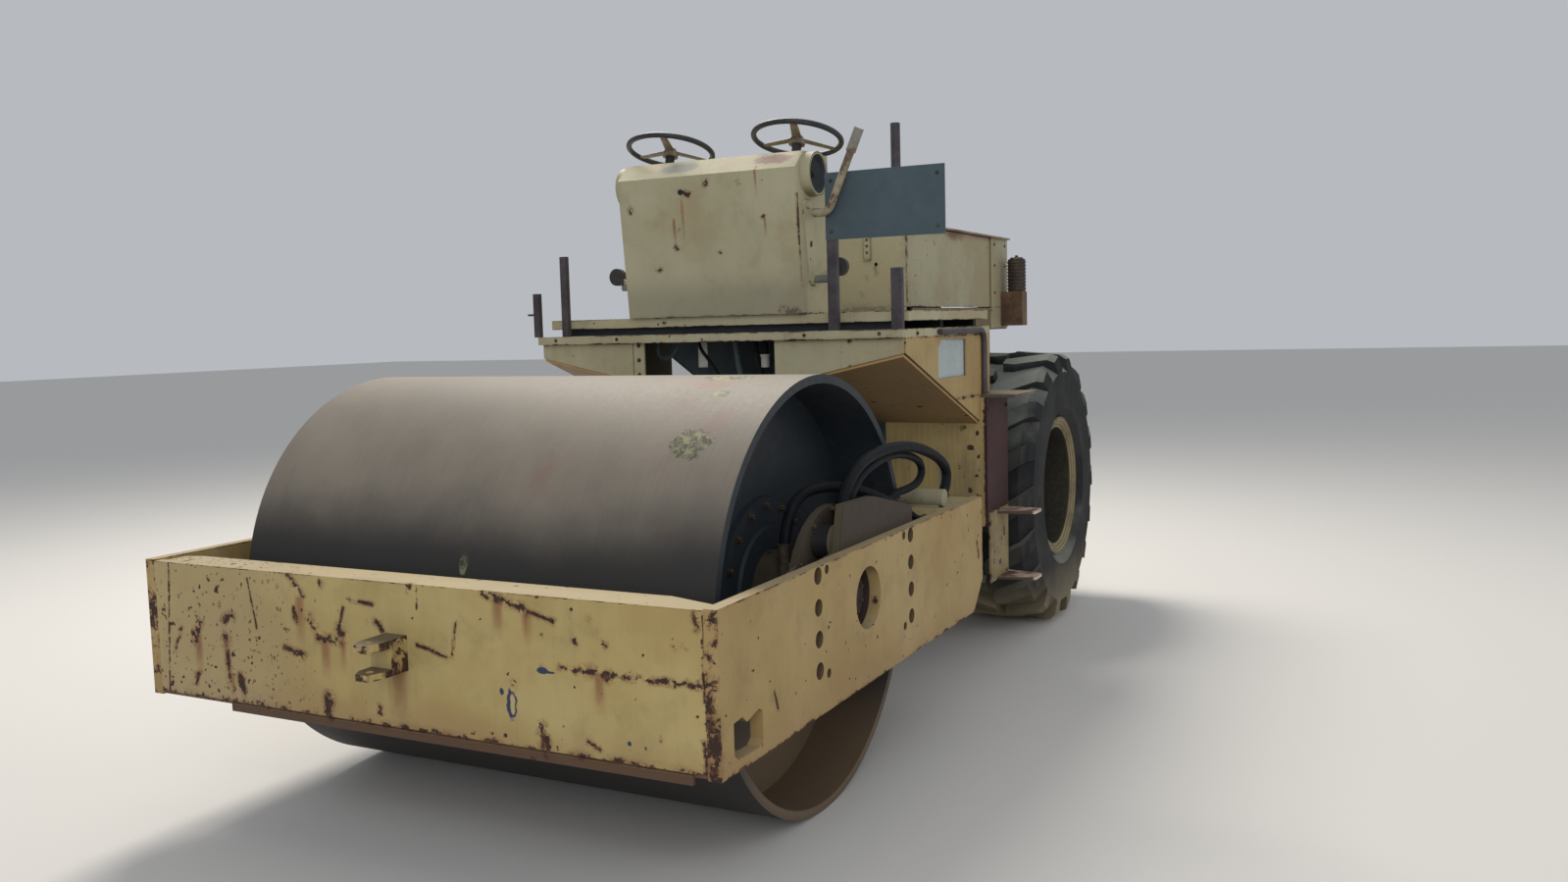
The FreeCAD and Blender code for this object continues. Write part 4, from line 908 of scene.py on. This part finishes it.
def steeringWheel(name, side, body, node):
    shape = bmesh.new()
    ringRadius = handWheel["ringRadius"]
    ring = bmesh.ops.create_circle(shape, cap_ends=False, segments=12, radius=handWheel["grip"],
                                   matrix=Matrix.Translation((ringRadius, 0, 0)) @ spun(90, "X"))
    loop = ring["verts"] + list({edge for point in ring["verts"] for edge in point.link_edges})
    bmesh.ops.spin(shape, geom=loop, cent=(0, 0, 0), axis=(0, 0, 1), angle=2 * math.pi, steps=72, use_merge=True)
    for z, radius, height, upper in handWheel["hub"]:
        addRound(shape, (0, 0, z), (0, 0, 1), radius, height, 28, upper)
    for step in range(handWheel["spokes"]):
        angle = math.radians(handWheel["firstSpoke"] + 360 / handWheel["spokes"] * step)
        way = Vector((math.cos(angle), math.sin(angle), 0))
        wide, narrow = handWheel["spokeEnds"]
        made = bmesh.ops.create_cone(shape, cap_ends=True, segments=24, radius1=wide, radius2=narrow,
                                     depth=ringRadius - 0.03)
        middle = Matrix.Translation(way * (0.5 * ringRadius + 0.012) + Vector((0, 0, -0.003)))
        along = Matrix((way.cross(Vector((0, 0, 1))), Vector((0, 0, 1)), way)).transposed().to_4x4()
        flat = Matrix.Diagonal((*handWheel["spoke"], 1))
        bmesh.ops.transform(shape, matrix=middle @ along @ flat, verts=made["verts"])
    centre = wheelFoot(side) + leanOver @ Vector((0, 0, handWheel["up"]))
    bmesh.ops.transform(shape, matrix=Matrix.Translation(centre) @ leanOver, verts=shape.verts)
    makePiece(name, shape, body, wheelGrip, "black_plastic", node)


steeringWheel("handWheelLeft", 1, "hand_wheel_left", "steer_wheel_left")
steeringWheel("handWheelRight", -1, "hand_wheel_right", "steer_wheel_right")
# the empty bowl and its rim are profiles of radius and height; the boss is radius, length and upper radius
lampSpec = {"place": (0.480, -0.47, 2.455), "bowl": ((0.0, 0.0), (0.05, 0.002), (0.075, 0.010), (0.087, 0.028)),
            "rim": ((0.087, 0.030), (0.0895, 0.033), (0.095, 0.036), (0.099, 0.034)), "boss": (0.016, 0.018, 0.010)}


def lampBowls():
    bowl = bmesh.new()
    radius, length, upper = lampSpec["boss"]
    for side in (1, -1):
        at = (side * lampSpec["place"][0], *lampSpec["place"][1:])
        addLathe(bowl, lampSpec["bowl"], at, (side, 0, 0))
        addLathe(bowl, lampSpec["rim"], at, (side, 0, 0))
        addRound(bowl, at, (side, 0, 0), radius, length, 16, upper)
    makePiece("lampBowls", bowl, "chassis", coats["shadowPaint"], "dark_paint")


lampBowls()
# what hangs under the platform between the fascia sheets: rows of radius, sides and route
underPipes = (
    (0.010, 12, ((-0.258, -0.45, 1.742), (-0.262, -0.45, 1.690), (-0.317, -0.45, 1.632), (-0.372, -0.45, 1.632),
                 (-0.386, -0.45, 1.680), (-0.378, -0.45, 1.710))),
    (0.014, 12, ((0.02, -0.40, 1.742), (0.03, -0.40, 1.60), (0.05, -0.30, 1.35), (0.05, 0.10, 1.05),
                 (0.05, 0.25, 0.945))),
)
underCables = (
    (0.009, 10, ((-0.150, -0.45, 1.742), (-0.150, -0.455, 1.690), (-0.090, -0.455, 1.620), (-0.040, -0.44, 1.540),
                 (-0.030, -0.30, 1.30), (-0.040, 0.10, 1.10), (-0.040, 0.26, 0.945))),
    (0.012, 10, ((0.150, -0.44, 1.742), (0.152, -0.44, 1.66), (0.165, -0.40, 1.56), (0.10, -0.20, 1.30),
                 (0.09, 0.15, 1.10), (0.09, 0.28, 0.945))),
    (0.016, 12, ((0.195, -0.43, 1.742), (0.200, -0.43, 1.68), (0.198, -0.43, 1.62))),
)
paleTabs = {"collars": ((1.640, 0.020, 0.055), (1.646, 0.024, 0.010)), "collarPlace": (0.198, -0.43),
            "tab": (-0.127, -0.452, 1.665), "tabSize": (0.050, 0.004, 0.154), "bevel": 0.0015}


def underDeck():
    for name, rows, material, slotName in (("underPipe", underPipes, coats["pipePaint"], "dark_paint"),
                                           ("underCables", underCables, coats["hoseRubber"], "black_rubber")):
        tubes = bmesh.new()
        for radius, sides, route in rows:
            addTube(tubes, route, radius, sides)
        makePiece(name, tubes, "chassis", material, slotName)
    pale = bmesh.new()
    for z, radius, length in paleTabs["collars"]:
        addRound(pale, (*paleTabs["collarPlace"], z), (0, 0, -1), radius, length)
    sized = Matrix.Diagonal((*paleTabs["tabSize"], 1))
    tab = bmesh.ops.create_cube(pale, size=1, matrix=Matrix.Translation(paleTabs["tab"]) @ sized)
    bmesh.ops.bevel(pale, geom=list({edge for point in tab["verts"] for edge in point.link_edges}),
                    offset=paleTabs["bevel"], affect="EDGES", segments=2, profile=0.5, material=-1)
    makePiece("underTabs", pale, "chassis", coats["whitePlastic"], "pale_sheet")


underDeck()
filterSpec = {"place": (0.640, 2.235), "lowest": 1.973, "pitch": 0.021, "bands": 9, "lid": (2.160, 0.046, 0.012, 0.038),
              "band": ((0.0545, -0.006), (0.059, -0.004), (0.059, 0.004), (0.0545, 0.006)), "nut": (2.172, 0.010, 0.014)}


def filterBands():
    ribs = bmesh.new()
    place = filterSpec["place"]
    for step in range(filterSpec["bands"]):
        addLathe(ribs, filterSpec["band"], (*place, filterSpec["lowest"] + filterSpec["pitch"] * step), (0, 0, 1))
    z, radius, height, upper = filterSpec["lid"]
    addRound(ribs, (*place, z), (0, 0, 1), radius, height, 32, upper)
    z, size, height = filterSpec["nut"]
    addBolt(ribs, (*place, z), (0, 0, 1), size, height)
    makePiece("filterBands", ribs, "chassis", coats["boltSteel"], "dark_paint")


filterBands()
# small bolts: x, y, z of a group, size and height; the front ones face forward, the side ones are on both sides
frontBolts = (
    ((-0.396,), (-0.600,), (1.56, 1.63, 1.70), 0.007, 0.008),
    ((-0.86, -0.5, 0.5, 0.86), (-0.630,), (1.732,), 0.006, 0.006),
    ((0.64, 1.13), (-0.619,), (2.18, 2.40), 0.006, 0.006),
)
sideBolts = (
    ((0.967,), (-0.45, -0.05, 0.35), (1.729,), 0.007, 0.008),
    ((0.551,), (2.05, 2.27), (1.95, 2.12, 2.25), 0.006, 0.006),
    ((1.000,), (0.47, 0.77), (0.80, 1.33), 0.009, 0.010),
)
postPin = {"start": (-1.035, -0.612, 1.862), "radius": 0.006, "length": 0.042}


def smallFittings():
    heads = bmesh.new()
    for xs, ys, zs, size, height in frontBolts:
        for at in product(xs, ys, zs):
            addBolt(heads, at, (0, -1, 0), size, height)
    for xs, ys, zs, size, height in sideBolts:
        for side, (x, y, z) in product((1, -1), product(xs, ys, zs)):
            addBolt(heads, (side * x, y, z), (side, 0, 0), size, height)
    addRound(heads, postPin["start"], (1, 0, 0), postPin["radius"], postPin["length"], 10)
    makePiece("smallBolts", heads, "chassis", coats["boltSteel"], "worn_steel")


smallFittings()
print("pieces made")
studio = {"floorSize": 60, "floorColour": (0.66, 0.64, 0.61, 1), "floorRoughness": 0.9, "floorGloss": 0.1,
          "skyColour": (0.86, 0.90, 0.96, 1), "skyStrength": 0.55}


def paleFloor():
    floor = bmesh.new()
    bmesh.ops.create_grid(floor, x_segments=1, y_segments=1, size=studio["floorSize"])
    mesh = bpy.data.meshes.new("studioFloor")
    floor.to_mesh(mesh)
    floor.free()
    skin = Finish("studioFloor", studio["floorGloss"])
    skin.shader.inputs["Base Color"].default_value = studio["floorColour"]
    skin.shader.inputs["Roughness"].default_value = studio["floorRoughness"]
    mesh.materials.append(skin.material)
    newObject("studioFloor", mesh)


paleFloor()
world = bpy.data.worlds.new("softSky")
world.use_nodes = True
sky = world.node_tree.nodes["Background"]
sky.inputs["Color"].default_value = studio["skyColour"]
sky.inputs["Strength"].default_value = studio["skyStrength"]
bpy.context.scene.world = world

print("scene ready")
